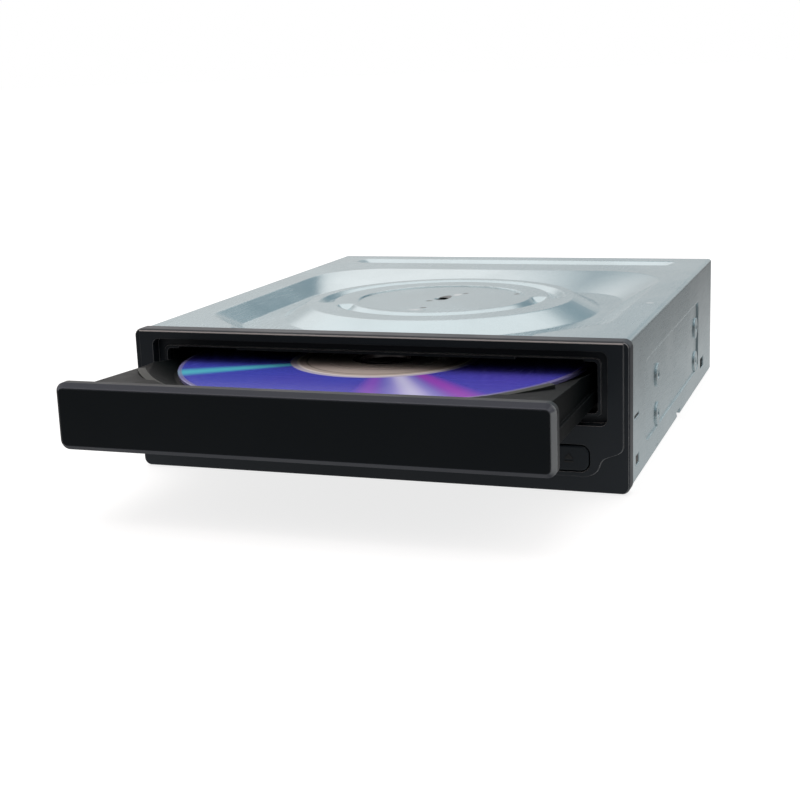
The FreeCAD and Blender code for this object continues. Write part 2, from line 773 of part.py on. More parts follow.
def main_frame():
    """The moulded frame: guided sides, front deck with gear posts, and a well for the traverse."""
    parts = both_sides(side_frame())
    deck_end = depth(front_deck_end)
    deck = box(-frame_wall_out, frame_wall_out, depth(1.0), deck_end, front_deck_low, front_deck_high)
    step_wall = box(-well_half - 2, well_half + 2, deck_end - 1.5, deck_end, 3.0, front_deck_low)
    shelf = box(-well_half, well_half, depth(front_deck_end), depth(well_front - 0.2), 6.4, 8.6)
    back = box(-well_half, well_half, depth(well_back), depth(frame_end), plate_low, plate_high)
    parts += [deck, step_wall, shelf, back]
    for sign in (-1, 1):
        parts += board_posts(sign)
        x0, x1 = sorted((sign * (damper_x - 4.5), sign * (well_half + 0.5)))
        shelf_low = damper_low - 1.4
        shelf_back = depth(well_back + 0.8)
        parts.append(box(x0, x1, depth(damper_depth - 4.5), shelf_back, shelf_low, damper_low))
        parts.append(box(x0, x1, depth(well_back), shelf_back, shelf_low, plate_low + 1))
        parts.append(rod(sign * damper_x, depth(damper_depth), damper_low, 16.0, damper_pin_r))
    for x, high, r in ((drive_x, pinion_high + 0.4, drive_post_r),
                       (pulley_x, pulley_high + 0.6, pulley_post_r)):
        parts.append(rod(x, gear_y, front_deck_high, high, r))
        parts.append(rod(x, gear_y, front_deck_high, drive_low - free_gap, r + 2.0))
    body = join(parts)
    cutters = [rod(motor_x, gear_y, front_deck_low - 1, front_deck_high + 1, motor_r - 3.0),
               box(socket_left - 1, socket_right + 1, rear_y - socket_deep - 0.6, rear_y,
                   2, plate_high + 2),
               rod_along_y(pin_hole_x, light_z, deck_end - 3, deck_end + 0.5, 1.4)]
    for s in (-1, 1):
        cutters.append(rod(motor_x + s * motor_screw_reach, gear_y, 12, 18, 1.1))
    for x, y in bridge_screw_places():
        cutters.append(rod(x, y, frame_top - 3, frame_top + 1, bridge_screw_r))
    for cutter in cutters:
        body = body.cut(cutter)
    return body


def circuit_board():
    body = rounded_box(-board_half, board_half, depth(board_front), depth(board_back),
                       board_low, board_top, 1.5)
    for sign in (-1, 1):
        for d in board_post_depths:
            body = body.cut(rod(sign * board_post_x, depth(d), 0, 9, board_screw_r + 0.2))
    return body


def board_screws():
    places = [(s * board_post_x, depth(d)) for s in (-1, 1) for d in board_post_depths]
    return pan_screws(places, board_low, 2.4, 1.3, board_screw_r, 5.5, False)


def chip(x, d, size_x, size_y, high):
    """A chip whose rows of legs are one thin slab that stands out at its sides."""
    half_x = size_x / 2
    half_y = size_y / 2
    y = depth(d)
    top = board_top + high
    body = box(x - half_x, x + half_x, y - half_y, y + half_y, board_top + 0.1, top)
    body = chamfer_edges(body, 0.25, lambda e: e.BoundBox.ZMin > top - 0.01)
    legs = box(x - half_x - 0.9, x + half_x + 0.9, y - half_y + 0.8, y + half_y - 0.8,
               board_top, board_top + 0.3)
    return body.fuse(legs).removeSplitter()


def control_chip():
    return chip(-8.0, 128.0, 18.0, 18.0, 1.5)


def driver_chip():
    return chip(34.0, 118.0, 12.0, 9.0, 1.5)


def memory_chip():
    return chip(16.0, 132.0, 6.0, 5.0, 1.4)


def small_parts():
    """Crystal, coils and capacitors along the board."""
    top = board_top
    made = [rounded_box(-32, -21, depth(120) - 2, depth(120) + 2, top, top + 1.5, 1.9)]
    for x, d in ((50, 118), (50, 128), (-46, 112), (47, 138), (20, 142)):
        made.append(rod(x, depth(d), top, top + 1.6, 2.0))
    for i in range(8):
        x = -30 + i * 6.0
        made.append(box(x, x + 2.0, depth(148), depth(149.2), top, top + 0.7))
    for i in range(6):
        x = -50 + i * 7.5
        made.append(box(x, x + 3.2, depth(115.8), depth(117.4), top, top + 1.1))
    return Part.makeCompound(made)


def ribbon_sockets():
    """Flat sockets for the ribbons to the pickup, the motors and the front board."""
    top = board_top
    made = []
    for x, d, long in ((0, 111, 25.0), (32, 103, 12.0), (-36, 103, 9.0)):
        half = long / 2
        y = depth(d)
        body = box(x - half, x + half, y - 2.2, y + 2.2, top, top + 1.7)
        body = body.cut(box(x - half + 0.8, x + half - 0.8, y - 3, y - 0.4, top + 0.6, top + 1.1))
        made.append(body)
    return Part.makeCompound(made)


def serial_socket():
    """The plug block at the back: a narrow mouth for data and a wide one for power."""
    body = box(socket_left, socket_right, rear_y - socket_deep, rear_y, socket_low, socket_high)
    y0 = rear_y - mouth_deep
    y1 = rear_y - 1.0
    for left, width in ((data_left, data_width), (power_left, power_width)):
        body = body.cut(box(left, left + width, y0, rear_y + 1, mouth_low, mouth_high))
        tongue = box(left + 2.0, left + width - 2.0, y0, y1, tongue_low, tongue_high)
        key = box(left + width - 3.1, left + width - 2.0, y0, y1, tongue_low, tongue_high + 1.4)
        body = body.fuse(tongue).fuse(key)
    return body.removeSplitter()


def contact_rows():
    """The rows of contacts on the two tongues."""
    made = []
    for left, width, count in ((data_left, data_width, 7), (power_left, power_width, 15)):
        for i in range(count):
            x = left + 2.9 + i * (width - 7.3) / (count - 1)
            made.append(box(x, x + 0.6, rear_y - mouth_deep + 0.2, rear_y - 1.4,
                            tongue_high, tongue_high + 0.15))
    return Part.makeCompound(made)


def front_board():
    """The small board behind the bezel that carries the switch and the light."""
    return box(light_x - 4.5, button_right + 0.9, depth(5.0), depth(6.2), 2.6, front_deck_low - 0.2)


def eject_switch():
    x = button_middle
    case = box(x - 3.0, x + 3.0, depth(3.8), depth(5.0), light_z - 3.0, light_z + 3.0)
    nose = rod_along_y(x, light_z, depth(3.4), depth(3.8), 1.6)
    return case.fuse(nose).removeSplitter()


def status_light():
    return box(light_x - 1.4, light_x + 1.4, depth(3.6), depth(5.0), light_z - 1.2, light_z + 1.2)


def front_board_clips():
    """Two blocks under the frame's front deck that hold the front board."""
    made = []
    for x in (light_x - 4.0, button_right - 1.6):
        made.append(box(x, x + 2.0, depth(6.2), depth(9.0), 4.0, front_deck_low))
    return Part.makeCompound(made)


def loading_motor():
    can = rod(motor_x, gear_y, 3.2, front_deck_low, motor_r)
    can = fillet_edges(can, 1.0, lambda e: e.BoundBox.ZMax < 3.3)
    boss = rod(motor_x, gear_y, front_deck_low, front_deck_low + 1.6, 3.0)
    shaft = rod(motor_x, gear_y, front_deck_low + 1.6, pulley_high + 0.5, motor_shaft_r)
    body = join([can, boss, shaft])
    for s in (-1, 1):
        body = body.cut(rod(motor_x + s * motor_screw_reach, gear_y, 11.0, 18, motor_screw_r))
    return body


def motor_screws():
    places = [(motor_x + s * motor_screw_reach, gear_y) for s in (-1, 1)]
    return pan_screws(places, front_deck_high, 2.0, 1.0, motor_screw_r, 3.4, True)


def drive_gear():
    """Wide gear below and rack pinion above on one sleeve."""
    bore = drive_post_r + running
    wide = spur_gear(drive_x, gear_y, drive_low, drive_high, drive_teeth, 0.0)
    rim_cut = ring(drive_x, gear_y, drive_low + 1.4, drive_high + 1, pitch_r_drive - 3.0, 6.0)
    pinion = spur_gear(drive_x, gear_y, drive_high, pinion_high, pinion_teeth, math.pi)
    sleeve = rod(drive_x, gear_y, drive_high, pinion_low - 0.6, 5.6)
    body = join([wide.cut(rim_cut), pinion, sleeve])
    return body.cut(rod(drive_x, gear_y, 10, 30, bore))


def pulley_gear():
    """Small gear with the belt pulley moulded on top."""
    turn = math.pi + math.pi / pulley_teeth
    small = spur_gear(pulley_x, gear_y, drive_low, pulley_low, pulley_teeth, turn)
    wheel = rod(pulley_x, gear_y, pulley_low, pulley_high, drive_pulley_r + 0.9)
    groove = ring(pulley_x, gear_y, pulley_low + 0.5, pulley_high - 0.5,
                  drive_pulley_r + 2, drive_pulley_r)
    body = join([small, wheel.cut(groove)])
    for i in range(5):
        a = i * 2 * math.pi / 5
        body = body.cut(rod(pulley_x + 6.6 * math.cos(a), gear_y + 6.6 * math.sin(a), pulley_low + 0.01,
                            30, 1.8))
    return body.cut(rod(pulley_x, gear_y, 10, 30, pulley_post_r + running))


def motor_pulley():
    wheel = rod(motor_x, gear_y, pulley_low, pulley_high, motor_pulley_r + 0.9)
    groove = ring(motor_x, gear_y, pulley_low + 0.5, pulley_high - 0.5,
                  motor_pulley_r + 2, motor_pulley_r)
    return wheel.cut(groove).cut(rod(motor_x, gear_y, 10, 30, motor_shaft_r + running))


def belt_loop(r_big, r_small, z0, z1):
    """The outline of a taut belt round both pulleys as a solid slab."""
    gap = motor_x - pulley_x
    lean = math.asin((r_big - r_small) / gap)
    points = []
    for sign in (1, -1):
        angle = sign * (math.pi / 2 - lean)
        big = vec(pulley_x + r_big * math.cos(angle), gear_y + r_big * math.sin(angle), z0)
        small = vec(motor_x + r_small * math.cos(angle), gear_y + r_small * math.sin(angle), z0)
        points.append((big, small))
    outline = Part.makePolygon([points[0][0], points[0][1], points[1][1], points[1][0], points[0][0]])
    slab = Part.Face(outline).extrude(vec(0, 0, z1 - z0))
    return join([slab, rod(pulley_x, gear_y, z0, z1, r_big), rod(motor_x, gear_y, z0, z1, r_small)])


def loading_belt():
    z0 = (pulley_low + pulley_high) / 2.0 - 0.6
    gap = running * 2
    big = drive_pulley_r + gap
    small = motor_pulley_r + gap
    outer = belt_loop(big + belt_size, small + belt_size, z0, z0 + belt_size)
    inner = belt_loop(big, small, z0 - 1, z0 + 3)
    return outer.cut(inner)


def traverse_frame():
    """The pressed and moulded chassis of the optical unit, with its motor seat and sled window."""
    y0 = depth(traverse_front)
    y1 = depth(traverse_back)
    body = rounded_box(-traverse_half, traverse_half, y0, y1, traverse_plate, traverse_plate_high, 3.0)
    rim = rounded_box(-traverse_half, traverse_half, y0, y1, traverse_low, traverse_wall_high, 3.0)
    rim = rim.cut(rounded_box(-traverse_half + 1.4, traverse_half - 1.4, y0 + 1.4, y1 - 1.4, 0, 40, 1.6))
    window = rounded_box(-24.0, 24.0, depth(rod_front + 2.3), depth(rod_back + 0.2), 0, 40, 2.0)
    side_y = depth(rod_front + 4.4)
    window_side = rounded_box(20.0, 33.0, side_y, depth(sled_motor_front - 1.9), 0, 40, 2.0)
    window_left = rounded_box(-31.0, -20.0, side_y, depth(rod_back - 4.3), 0, 40, 2.0)
    body = join([body, rim]).cut(window).cut(window_side).cut(window_left)
    for x in (-rod_x, rod_x):
        for y in (depth(rod_front + 1.8), depth(rod_back - 1.8)):
            block = box(x - 3.0, x + 3.0, y - 1.8, y + 1.8, traverse_plate, rod_z + 2.6)
            body = body.fuse(block).cut(rod_along_y(x, rod_z, y - 2.5, y + 2.5, rod_r))
    seat = ring(0, spindle_y, traverse_plate_high - 0.5, 15.4, 12.0, 8.0)
    body = body.fuse(seat).cut(rod(0, spindle_y, 0, 40, 8.0))
    for sign in (-1, 1):
        pin = rod_along_y(sign * cam_pin_x, cam_pin_z, depth(cam_front + 0.4), y0 + 0.5, cam_pin_r)
        body = body.fuse(pin)
        body = body.cut(rod(sign * damper_x, depth(damper_depth), 0, 30, damper_neck_r))
    motor_front = depth(sled_motor_front)
    motor_back = motor_front + sled_motor_long
    motor_bed = box(screw_x - 3.8, traverse_half - 1.0, motor_front, motor_back, traverse_plate, screw_z)
    bearing_y = depth(rod_front + 0.4)
    front_bearing = box(screw_x - 2.4, traverse_half - 1.0, bearing_y, bearing_y + 3.0,
                        traverse_plate, screw_z + 2.4)
    body = join([body, motor_bed, front_bearing])
    body = body.cut(rod_along_y(screw_x, screw_z, depth(rod_front - 0.2), depth(sled_front),
                                  screw_r + running))
    return body.cut(rod_along_y(screw_x, screw_z, motor_front - 1.4, motor_back + 2.6, sled_motor_r))


def traverse_dampers():
    """Rubber spools between the traverse and the frame's pins."""
    made = []
    for sign in (-1, 1):
        x = sign * damper_x
        y = depth(damper_depth)
        spool = rod(x, y, damper_low, traverse_plate_high + 1.4, damper_r)
        spool = spool.cut(ring(x, y, traverse_plate, traverse_plate_high, damper_r + 1, damper_neck_r))
        spool = spool.cut(rod(x, y, 6, 20, damper_pin_r))
        made.append(spool)
    return Part.makeCompound(made)


def guide_rods():
    rods = [rod_along_y(x, rod_z, depth(rod_front), depth(rod_back), rod_r) for x in (-rod_x, rod_x)]
    return Part.makeCompound(rods)


def lead_screw():
    """The screw shaft that the sled motor turns."""
    return rod_along_y(screw_x, screw_z, depth(rod_front + 0.6), depth(sled_motor_front - 0.4), screw_r)


def sled_motor():
    y0 = depth(sled_motor_front)
    can = rod_along_y(screw_x, screw_z, y0, y0 + sled_motor_long, sled_motor_r)
    return can.cut(rod_along_y(screw_x, screw_z, y0 - 1, y0 + 1.4, screw_r + 0.3))


def pickup_sled():
    """The cast sled: a waisted body with bushings on both rods and a crescent nose."""
    y0 = depth(sled_front)
    y1 = y0 + sled_long
    body = rounded_box(-21.0, 21.0, y0, y1, 9.4, 20.4, 3.0)
    body = body.cut(rod(0, spindle_y, 0, 40, 18.0))
    for x, middle, half_long in ((-rod_x, y0 + 12.3, 10.3), (rod_x, y0 + 5.5, 4.0)):
        near, far = sorted((x, x * 0.6))
        arm = box(near, far, middle - half_long, middle + half_long, rod_z - 2.4, rod_z + 1.6)
        bush = rod_along_y(x, rod_z, middle - half_long, middle + half_long, 3.0)
        body = body.fuse(arm).fuse(bush)
        body = body.cut(rod_along_y(x, rod_z, middle - 20, middle + 20, rod_r + running))
    well = rounded_box(-9.0, 9.0, y0 + 4.4, y0 + 19.0, 14.0, 30, 1.5)
    body = body.cut(well)
    nut_seat = box(rod_x + 1.6, nut_face - nut_thick, y0 + 3.0, y0 + 8.0, rod_z - 1.2, rod_z + 1.2)
    return join([body, nut_seat])


def lead_nut():
    """The sprung rack piece whose fine teeth ride in the screw's groove."""
    y0 = depth(sled_front)
    blade = box(nut_face - nut_thick, nut_face, y0 + 1.5, y0 + 9.5, screw_z - 2.2, screw_z + 2.8)
    hook = box(rod_x + 3.2, nut_face, y0 + 3.2, y0 + 7.8, screw_z + 1.2, screw_z + 2.2)
    return blade.fuse(hook).removeSplitter()


def lens_mount():
    """The sprung lens holder standing in the sled's well."""
    y0 = depth(sled_front)
    body = rounded_box(-7.0, 7.0, y0 + 5.6, y0 + 17.4, 14.0, 21.0, 1.2)
    return body.cut(rod(0, depth(lens_depth), 15, 30, 2.6))


def lens_cover():
    """The thin black cover over the works, open round the lens."""
    y0 = depth(sled_front)
    skin = rounded_box(-11.0, 11.0, y0 + 3.4, y0 + 20.6, 20.4, 21.8, 2.0)
    skin = skin.cut(rounded_box(-7.8, 7.8, y0 + 4.9, y0 + 18.2, 20, 23, 1.6))
    return skin


def objective_lens():
    lens_y = depth(lens_depth)
    lens = rod(0, lens_y, 19.6, 20.6, 2.6)
    ball = Part.makeSphere(4.2, vec(0, lens_y, 17.6))
    return lens.fuse(ball.common(rod(0, lens_y, 20.6, 24, 2.1))).removeSplitter()


def spindle_base():
    """The fixed half of the spindle motor: steel plate and bearing tube."""
    base = rounded_box(-16.0, 16.0, spindle_y - 12.5, spindle_y + 12.5, 15.4, 16.0, 4.0)
    tube = rod(0, spindle_y, 12.0, 18.4, 3.6)
    base = join([base, tube])
    return base.cut(rod(0, spindle_y, 12.8, 20, shaft_r + running))


def spindle_rotor():
    """The motor's turning cup and shaft."""
    cup = rod(0, spindle_y, 16.5, table_low, 13.2)
    cup = fillet_edges(cup, 0.8, lambda e: e.BoundBox.ZMin > table_low - 0.1)
    cup = cup.cut(rod(0, spindle_y, 16, 21.8, 12.4))
    shaft = rod(0, spindle_y, 13.0, table_high + 1.2, shaft_r)
    return join([cup, shaft])


def turntable():
    """The plate and centring hub that take the disc."""
    table = rod(0, spindle_y, table_low, table_high, table_r)
    hub = rod(0, spindle_y, table_high, hub_high, hub_r)
    nose = cone(0, spindle_y, hub_r, hub_r - 2.6, hub_high, hub_top)
    body = join([table, hub, nose])
    return body.cut(rod(0, spindle_y, 22, table_high + 1.2, shaft_r)).cut(hub_balls())


def turntable_pad():
    return ring(0, spindle_y, table_high, table_high + 0.7, table_r - 0.2, table_r - 3.6)


def hub_balls():
    """Three sprung fingers of the hub that centre the disc."""
    made = []
    for i in range(3):
        finger = box(hub_r - 0.6, hub_r + 0.4, -1.5, 1.5, hub_high - 1.3, hub_high - 0.2)
        finger.rotate(vec(0, 0, 0), Z, 90 + 120 * i)
        finger.translate(vec(0, spindle_y, 0))
        made.append(finger)
    return Part.makeCompound(made)


def cam_slider():
    """The bar that would slide across to lift the traverse, with its two stepped slots."""
    y0 = depth(cam_front)
    y1 = depth(cam_back)
    body = box(-34.0, 30.0, y0, y1, 8.6, 24.0)
    for x in (-cam_pin_x, cam_pin_x):
        low = box(x - 5.0, x + 1.9, y0 - 1, y1 + 1, cam_pin_z - 1.6, cam_pin_z + 1.6)
        corners = [vec(x - 5.0, y0 - 1, cam_pin_z - 1.6), vec(x - 1.6, y0 - 1, cam_pin_z - 1.6),
                   vec(x - 8.6, y0 - 1, cam_pin_z + 5.6), vec(x - 12.2, y0 - 1, cam_pin_z + 5.6)]
        corners.append(corners[0])
        slope = Part.Face(Part.makePolygon(corners)).extrude(vec(0, y1 - y0 + 2, 0))
        body = body.cut(low).cut(slope)
    body = body.cut(box(-8.0, 8.0, y0 - 1, y1 + 1, 20.5, 25))
    return body


def strap_profile(y, half_wide):
    """The bridge seen from the front: flat ends on the frame, dips under the dish, a raised middle."""
    dip = bridge_dip
    right = [(bridge_end, 0.0), (dip_outer + dip, 0.0), (dip_outer, -dip), (dip_inner, -dip),
             (dip_inner - dip, 0.0)]
    under = [(-x, z) for x, z in right] + right[::-1]
    over = [(x, z + bridge_thick) for x, z in under[::-1]]
    corners = [vec(x, y - half_wide, bridge_low + z) for x, z in under + over]
    corners.append(corners[0])
    return Part.Face(Part.makePolygon(corners)).extrude(vec(0, 2 * half_wide, 0))


def clamp_bridge():
    """The steel strap across the frame that carries the clamper over the disc."""
    half_wide = bridge_half_wide
    strap = strap_profile(spindle_y, half_wide)
    middle = rod(0, spindle_y, bridge_low, bridge_top, 20.0)
    body = join([strap, middle])
    for y in (spindle_y - half_wide, spindle_y + half_wide - bridge_thick):
        for x0, x1 in ((-dip_inner + 4, -21), (21, dip_inner - 4)):
            body = body.fuse(box(x0, x1, y, y + bridge_thick, bridge_low, bridge_low + 1.9))
    body = body.cut(rod(0, spindle_y, 30, 40, bridge_hole_r))
    for x, y in bridge_screw_places():
        body = body.cut(rod(x, y, 30, 40, bridge_screw_r + 0.1))
    for s in (-1, 1):
        slot = rounded_box(s * 30 - 7, s * 30 + 7, spindle_y - 6, spindle_y + 6, 30, 40, 5.5)
        body = body.cut(slot)
    return body.removeSplitter()


def bridge_screw_places():
    return [(s * bridge_screw_x, spindle_y + dy) for s in (-1, 1) for dy in (-10.0, 10.0)]


def bridge_screws():
    return pan_screws(bridge_screw_places(), bridge_top, 2.3, 1.1, bridge_screw_r, 2.2, True)


def clamper():
    """The floating puck: lower pressing disc, neck through the bridge, and upper flange."""
    neck_low = bridge_low - free_gap
    flange_low = bridge_top + slide_gap
    low = rod(0, spindle_y, clamper_low, neck_low, clamper_r)
    neck = rod(0, spindle_y, neck_low, flange_low, clamper_neck_r)
    flange = rod(0, spindle_y, flange_low, flange_low + 1.2, clamper_flange_r)
    body = join([low, neck, flange])
    body = body.cut(rod(0, spindle_y, clamper_low - 1, clamper_low + 0.6, 10.0))
    return body.cut(rod(0, spindle_y, bridge_top - 1.0, body_height, magnet_r + 0.1))


def clamp_magnet():
    return ring(0, spindle_y, bridge_top - 1.0, bridge_top + 1.0, magnet_r, 4.0)


def clamp_yoke():
    return rod(0, spindle_y, bridge_top + 1.0, bridge_top + 1.6, magnet_r)


os.makedirs("parts", exist_ok=True)
makers = [
    front_bezel, led_lens, top_cover, bottom_cover, cover_screws, main_frame, circuit_board, board_screws,
    control_chip, driver_chip, memory_chip, small_parts, ribbon_sockets, serial_socket, contact_rows,
    front_board, front_board_clips, eject_switch, status_light, eject_button, loading_motor,
    motor_screws, drive_gear, pulley_gear, motor_pulley, loading_belt, traverse_frame,
    traverse_dampers, guide_rods, lead_screw, sled_motor, pickup_sled, lead_nut, lens_mount,
    lens_cover, objective_lens, spindle_base, spindle_rotor, turntable, turntable_pad, hub_balls,
    cam_slider, clamp_bridge, bridge_screws, clamper, clamp_magnet, clamp_yoke, disc_tray, tray_door,
    disc,
]
for maker in makers:
    save(maker(), maker.__name__)
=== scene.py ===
import math

import bpy
from mathutils import Matrix, Vector


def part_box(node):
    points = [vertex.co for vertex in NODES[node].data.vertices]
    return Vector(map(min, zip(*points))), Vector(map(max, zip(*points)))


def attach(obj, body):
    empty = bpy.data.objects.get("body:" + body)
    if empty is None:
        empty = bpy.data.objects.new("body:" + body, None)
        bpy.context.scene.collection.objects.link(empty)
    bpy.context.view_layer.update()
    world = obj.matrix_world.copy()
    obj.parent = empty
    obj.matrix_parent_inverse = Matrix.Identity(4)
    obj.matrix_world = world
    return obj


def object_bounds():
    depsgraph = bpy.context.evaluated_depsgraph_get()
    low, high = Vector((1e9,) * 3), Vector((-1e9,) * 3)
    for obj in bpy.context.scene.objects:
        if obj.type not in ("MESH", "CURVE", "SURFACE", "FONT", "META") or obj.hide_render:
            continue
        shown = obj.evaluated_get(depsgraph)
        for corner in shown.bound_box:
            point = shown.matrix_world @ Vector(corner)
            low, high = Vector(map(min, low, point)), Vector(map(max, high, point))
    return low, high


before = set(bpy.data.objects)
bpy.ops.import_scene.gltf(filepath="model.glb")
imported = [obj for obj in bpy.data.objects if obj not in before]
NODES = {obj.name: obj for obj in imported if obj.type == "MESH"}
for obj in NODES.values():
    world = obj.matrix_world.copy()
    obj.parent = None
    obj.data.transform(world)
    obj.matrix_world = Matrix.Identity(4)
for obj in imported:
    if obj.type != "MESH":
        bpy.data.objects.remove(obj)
bpy.ops.object.select_all(action="DESELECT")
cad_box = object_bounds()
MM = 0.001

# Places taken from the frame, in metres.
case_low, case_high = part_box("top_cover")
disc_low, disc_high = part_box("disc")
puck_low, puck_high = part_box("clamper")
door_low, door_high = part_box("tray_door")
FRONT_Y = case_low.y
SPINDLE_Y = (puck_low.y + puck_high.y) / 2.0
DISC_Y = (disc_low.y + disc_high.y) / 2.0
TOP_Z = case_high.z
DECK_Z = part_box("disc_tray")[1].z - 1.4 * MM
RECESS_FLOOR_Y = FRONT_Y - 1.6 * MM

# The ribs at the front corners of the disc pocket; angles go round the disc's middle, in degrees.
RIB_R = 70.0 * MM
RIB_WIDE = 2.2 * MM
RIB_TALL = 2.4 * MM
RIB_SINK = 0.5 * MM
RIB_FRONT_ANGLE = 233.0
RIB_TURN = 20.0
RIB_TILT = math.radians(2.4)

# The camera: angles in degrees, and in millimetres its lens, its sensor and where the bottom of the case's
# front lies in its own axes.
CAMERA_AZIMUTH = 19.918
CAMERA_ELEVATION = 12.929
CAMERA_ROLL = -2.133
CAMERA_SHIFT = (-6.250, 21.241, 411.163)
CAMERA_LENS = 63.88
CAMERA_SENSOR = 36.0

# Colours of the main finishes and of painted shade, as linear red, green and blue.
ZINC = (0.505, 0.623, 0.660)
# Painted shade for the cover's underside inside the drive.
UNDERSIDE_SHADE = (0.02, 0.02, 0.02)
DOOR_FACE = (0.0058, 0.0094, 0.0124)
BEZEL_FACE = (0.0200, 0.0260, 0.0330)
BUTTON_FACE = (0.0230, 0.0290, 0.0350)
DEEP_SHADE = (0.0012, 0.0012, 0.0012)
DUST_COLOUR = (0.32, 0.31, 0.29)
DISC_VIOLET = (0.068, 0.088, 0.60)
DISC_INDIGO = (0.095, 0.078, 0.55)

# Brightness of the studio.
SIDE_LIGHT = 0.25
BACK_LIGHT = 0.66
BAND_LIGHT = (0.33, 0.41, 0.45)
TOP_LIGHT = (1.31, 1.21, 1.18)
FRONT_SHARE = 0.34
SUN_POWER = 1.3
FLOOR_GLOW = 0.80
FLOOR_NEAR = 0.44
FLOOR_FAR = 0.09


def place_camera():
    """The camera stands in front and to the right, a little above the drive."""
    azimuth = math.radians(CAMERA_AZIMUTH)
    elevation = math.radians(CAMERA_ELEVATION)
    roll = math.radians(CAMERA_ROLL)
    forward = Vector((-math.sin(azimuth) * math.cos(elevation), math.cos(azimuth) * math.cos(elevation),
                      -math.sin(elevation)))
    right = forward.cross(Vector((0, 0, 1))).normalized()
    up = right.cross(forward)
    level = Matrix((right, -up, forward))
    tilt = Matrix(((math.cos(roll), -math.sin(roll), 0), (math.sin(roll), math.cos(roll), 0), (0, 0, 1)))
    view = tilt @ level
    spot = -(view.transposed() @ Vector(CAMERA_SHIFT)) * MM + Vector((0, FRONT_Y, 0))
    camera_data = bpy.data.cameras.new("camera")
    camera_data.lens = CAMERA_LENS
    camera_data.sensor_width = CAMERA_SENSOR
    camera_data.clip_start = 0.01
    camera = bpy.data.objects.new("camera", camera_data)
    turn = Matrix((view[0], -view[1], -view[2])).transposed().to_4x4()
    camera.matrix_world = Matrix.Translation(spot) @ turn
    bpy.context.scene.collection.objects.link(camera)
    bpy.context.scene.camera = camera


# Shared effects

def new_group(name, inputs, outputs):
    """A shader group with named sockets, and its two end nodes."""
    group = bpy.data.node_groups.new(name, "ShaderNodeTree")
    for title, kind, value in inputs:
        socket = group.interface.new_socket(title, in_out="INPUT", socket_type=kind)
        if value is not None:
            socket.default_value = value
    for title, kind in outputs:
        group.interface.new_socket(title, in_out="OUTPUT", socket_type=kind)
    entry = group.nodes.new("NodeGroupInput")
    leave = group.nodes.new("NodeGroupOutput")
    return group, entry, leave


def link(tree, source, target):
    tree.links.new(source, target)


def math_node(tree, how, a, b=None, c=None):
    """One step of arithmetic; each value is a number or a socket."""
    node = tree.nodes.new("ShaderNodeMath")
    node.operation = how
    for slot, value in zip(node.inputs, (a, b, c)):
        if value is None:
            continue
        if isinstance(value, (int, float)):
            slot.default_value = value
        else:
            link(tree, value, slot)
    return node.outputs[0]


def ramp(tree, value, low, high, out_low=0.0, out_high=1.0):
    """A smooth step from one value to another while the input goes from low to high."""
    node = tree.nodes.new("ShaderNodeMapRange")
    node.interpolation_type = "SMOOTHSTEP"
    link(tree, value, node.inputs["Value"])
    for title, number in (("From Min", low), ("From Max", high), ("To Min", out_low), ("To Max", out_high)):
        if isinstance(number, (int, float)):
            node.inputs[title].default_value = number
        else:
            link(tree, number, node.inputs[title])
    return node.outputs["Result"]


def mix_colour(tree, share, a, b, how="MIX"):
    """Mixes b into a by a share; each is a colour or a socket."""
    node = tree.nodes.new("ShaderNodeMix")
    node.data_type = "RGBA"
    node.blend_type = how
    for slot, value in ((node.inputs[0], share), (node.inputs[6], a), (node.inputs[7], b)):
        if isinstance(value, (int, float)):
            slot.default_value = value
        elif isinstance(value, tuple):
            slot.default_value = value if len(value) == 4 else value + (1.0,)
        else:
            link(tree, value, slot)
    return node.outputs[2]


def noise(tree, place, scale, detail=3.0, roughness=0.5, stretch=None):
    """Soft noise at a place, stretched along the axes if asked."""
    source = place
    if stretch is not None:
        mapping = tree.nodes.new("ShaderNodeMapping")
        mapping.inputs["Scale"].default_value = stretch
        link(tree, place, mapping.inputs["Vector"])
        source = mapping.outputs[0]
    node = tree.nodes.new("ShaderNodeTexNoise")
    link(tree, source, node.inputs["Vector"])
    if isinstance(scale, (int, float)):
        node.inputs["Scale"].default_value = scale
    else:
        link(tree, scale, node.inputs["Scale"])
    node.inputs["Detail"].default_value = detail
    node.inputs["Roughness"].default_value = roughness
    return node.outputs["Fac"]


def grain_group():
    """Fine moulded or rolled grain: a height, and a soft patchiness from 0 to 1."""
    group, entry, leave = new_group(
        "fine_grain",
        [("Place", "NodeSocketVector", None), ("Grain Scale", "NodeSocketFloat", 4000.0),
         ("Patch Scale", "NodeSocketFloat", 40.0)],
        [("Height", "NodeSocketFloat"), ("Patches", "NodeSocketFloat")])
    fine = noise(group, entry.outputs["Place"], entry.outputs["Grain Scale"], 2.0, 0.6)
    broad = noise(group, entry.outputs["Place"], entry.outputs["Patch Scale"], 3.0, 0.55)
    link(group, fine, leave.inputs["Height"])
    link(group, ramp(group, broad, 0.35, 0.65), leave.inputs["Patches"])
    return group


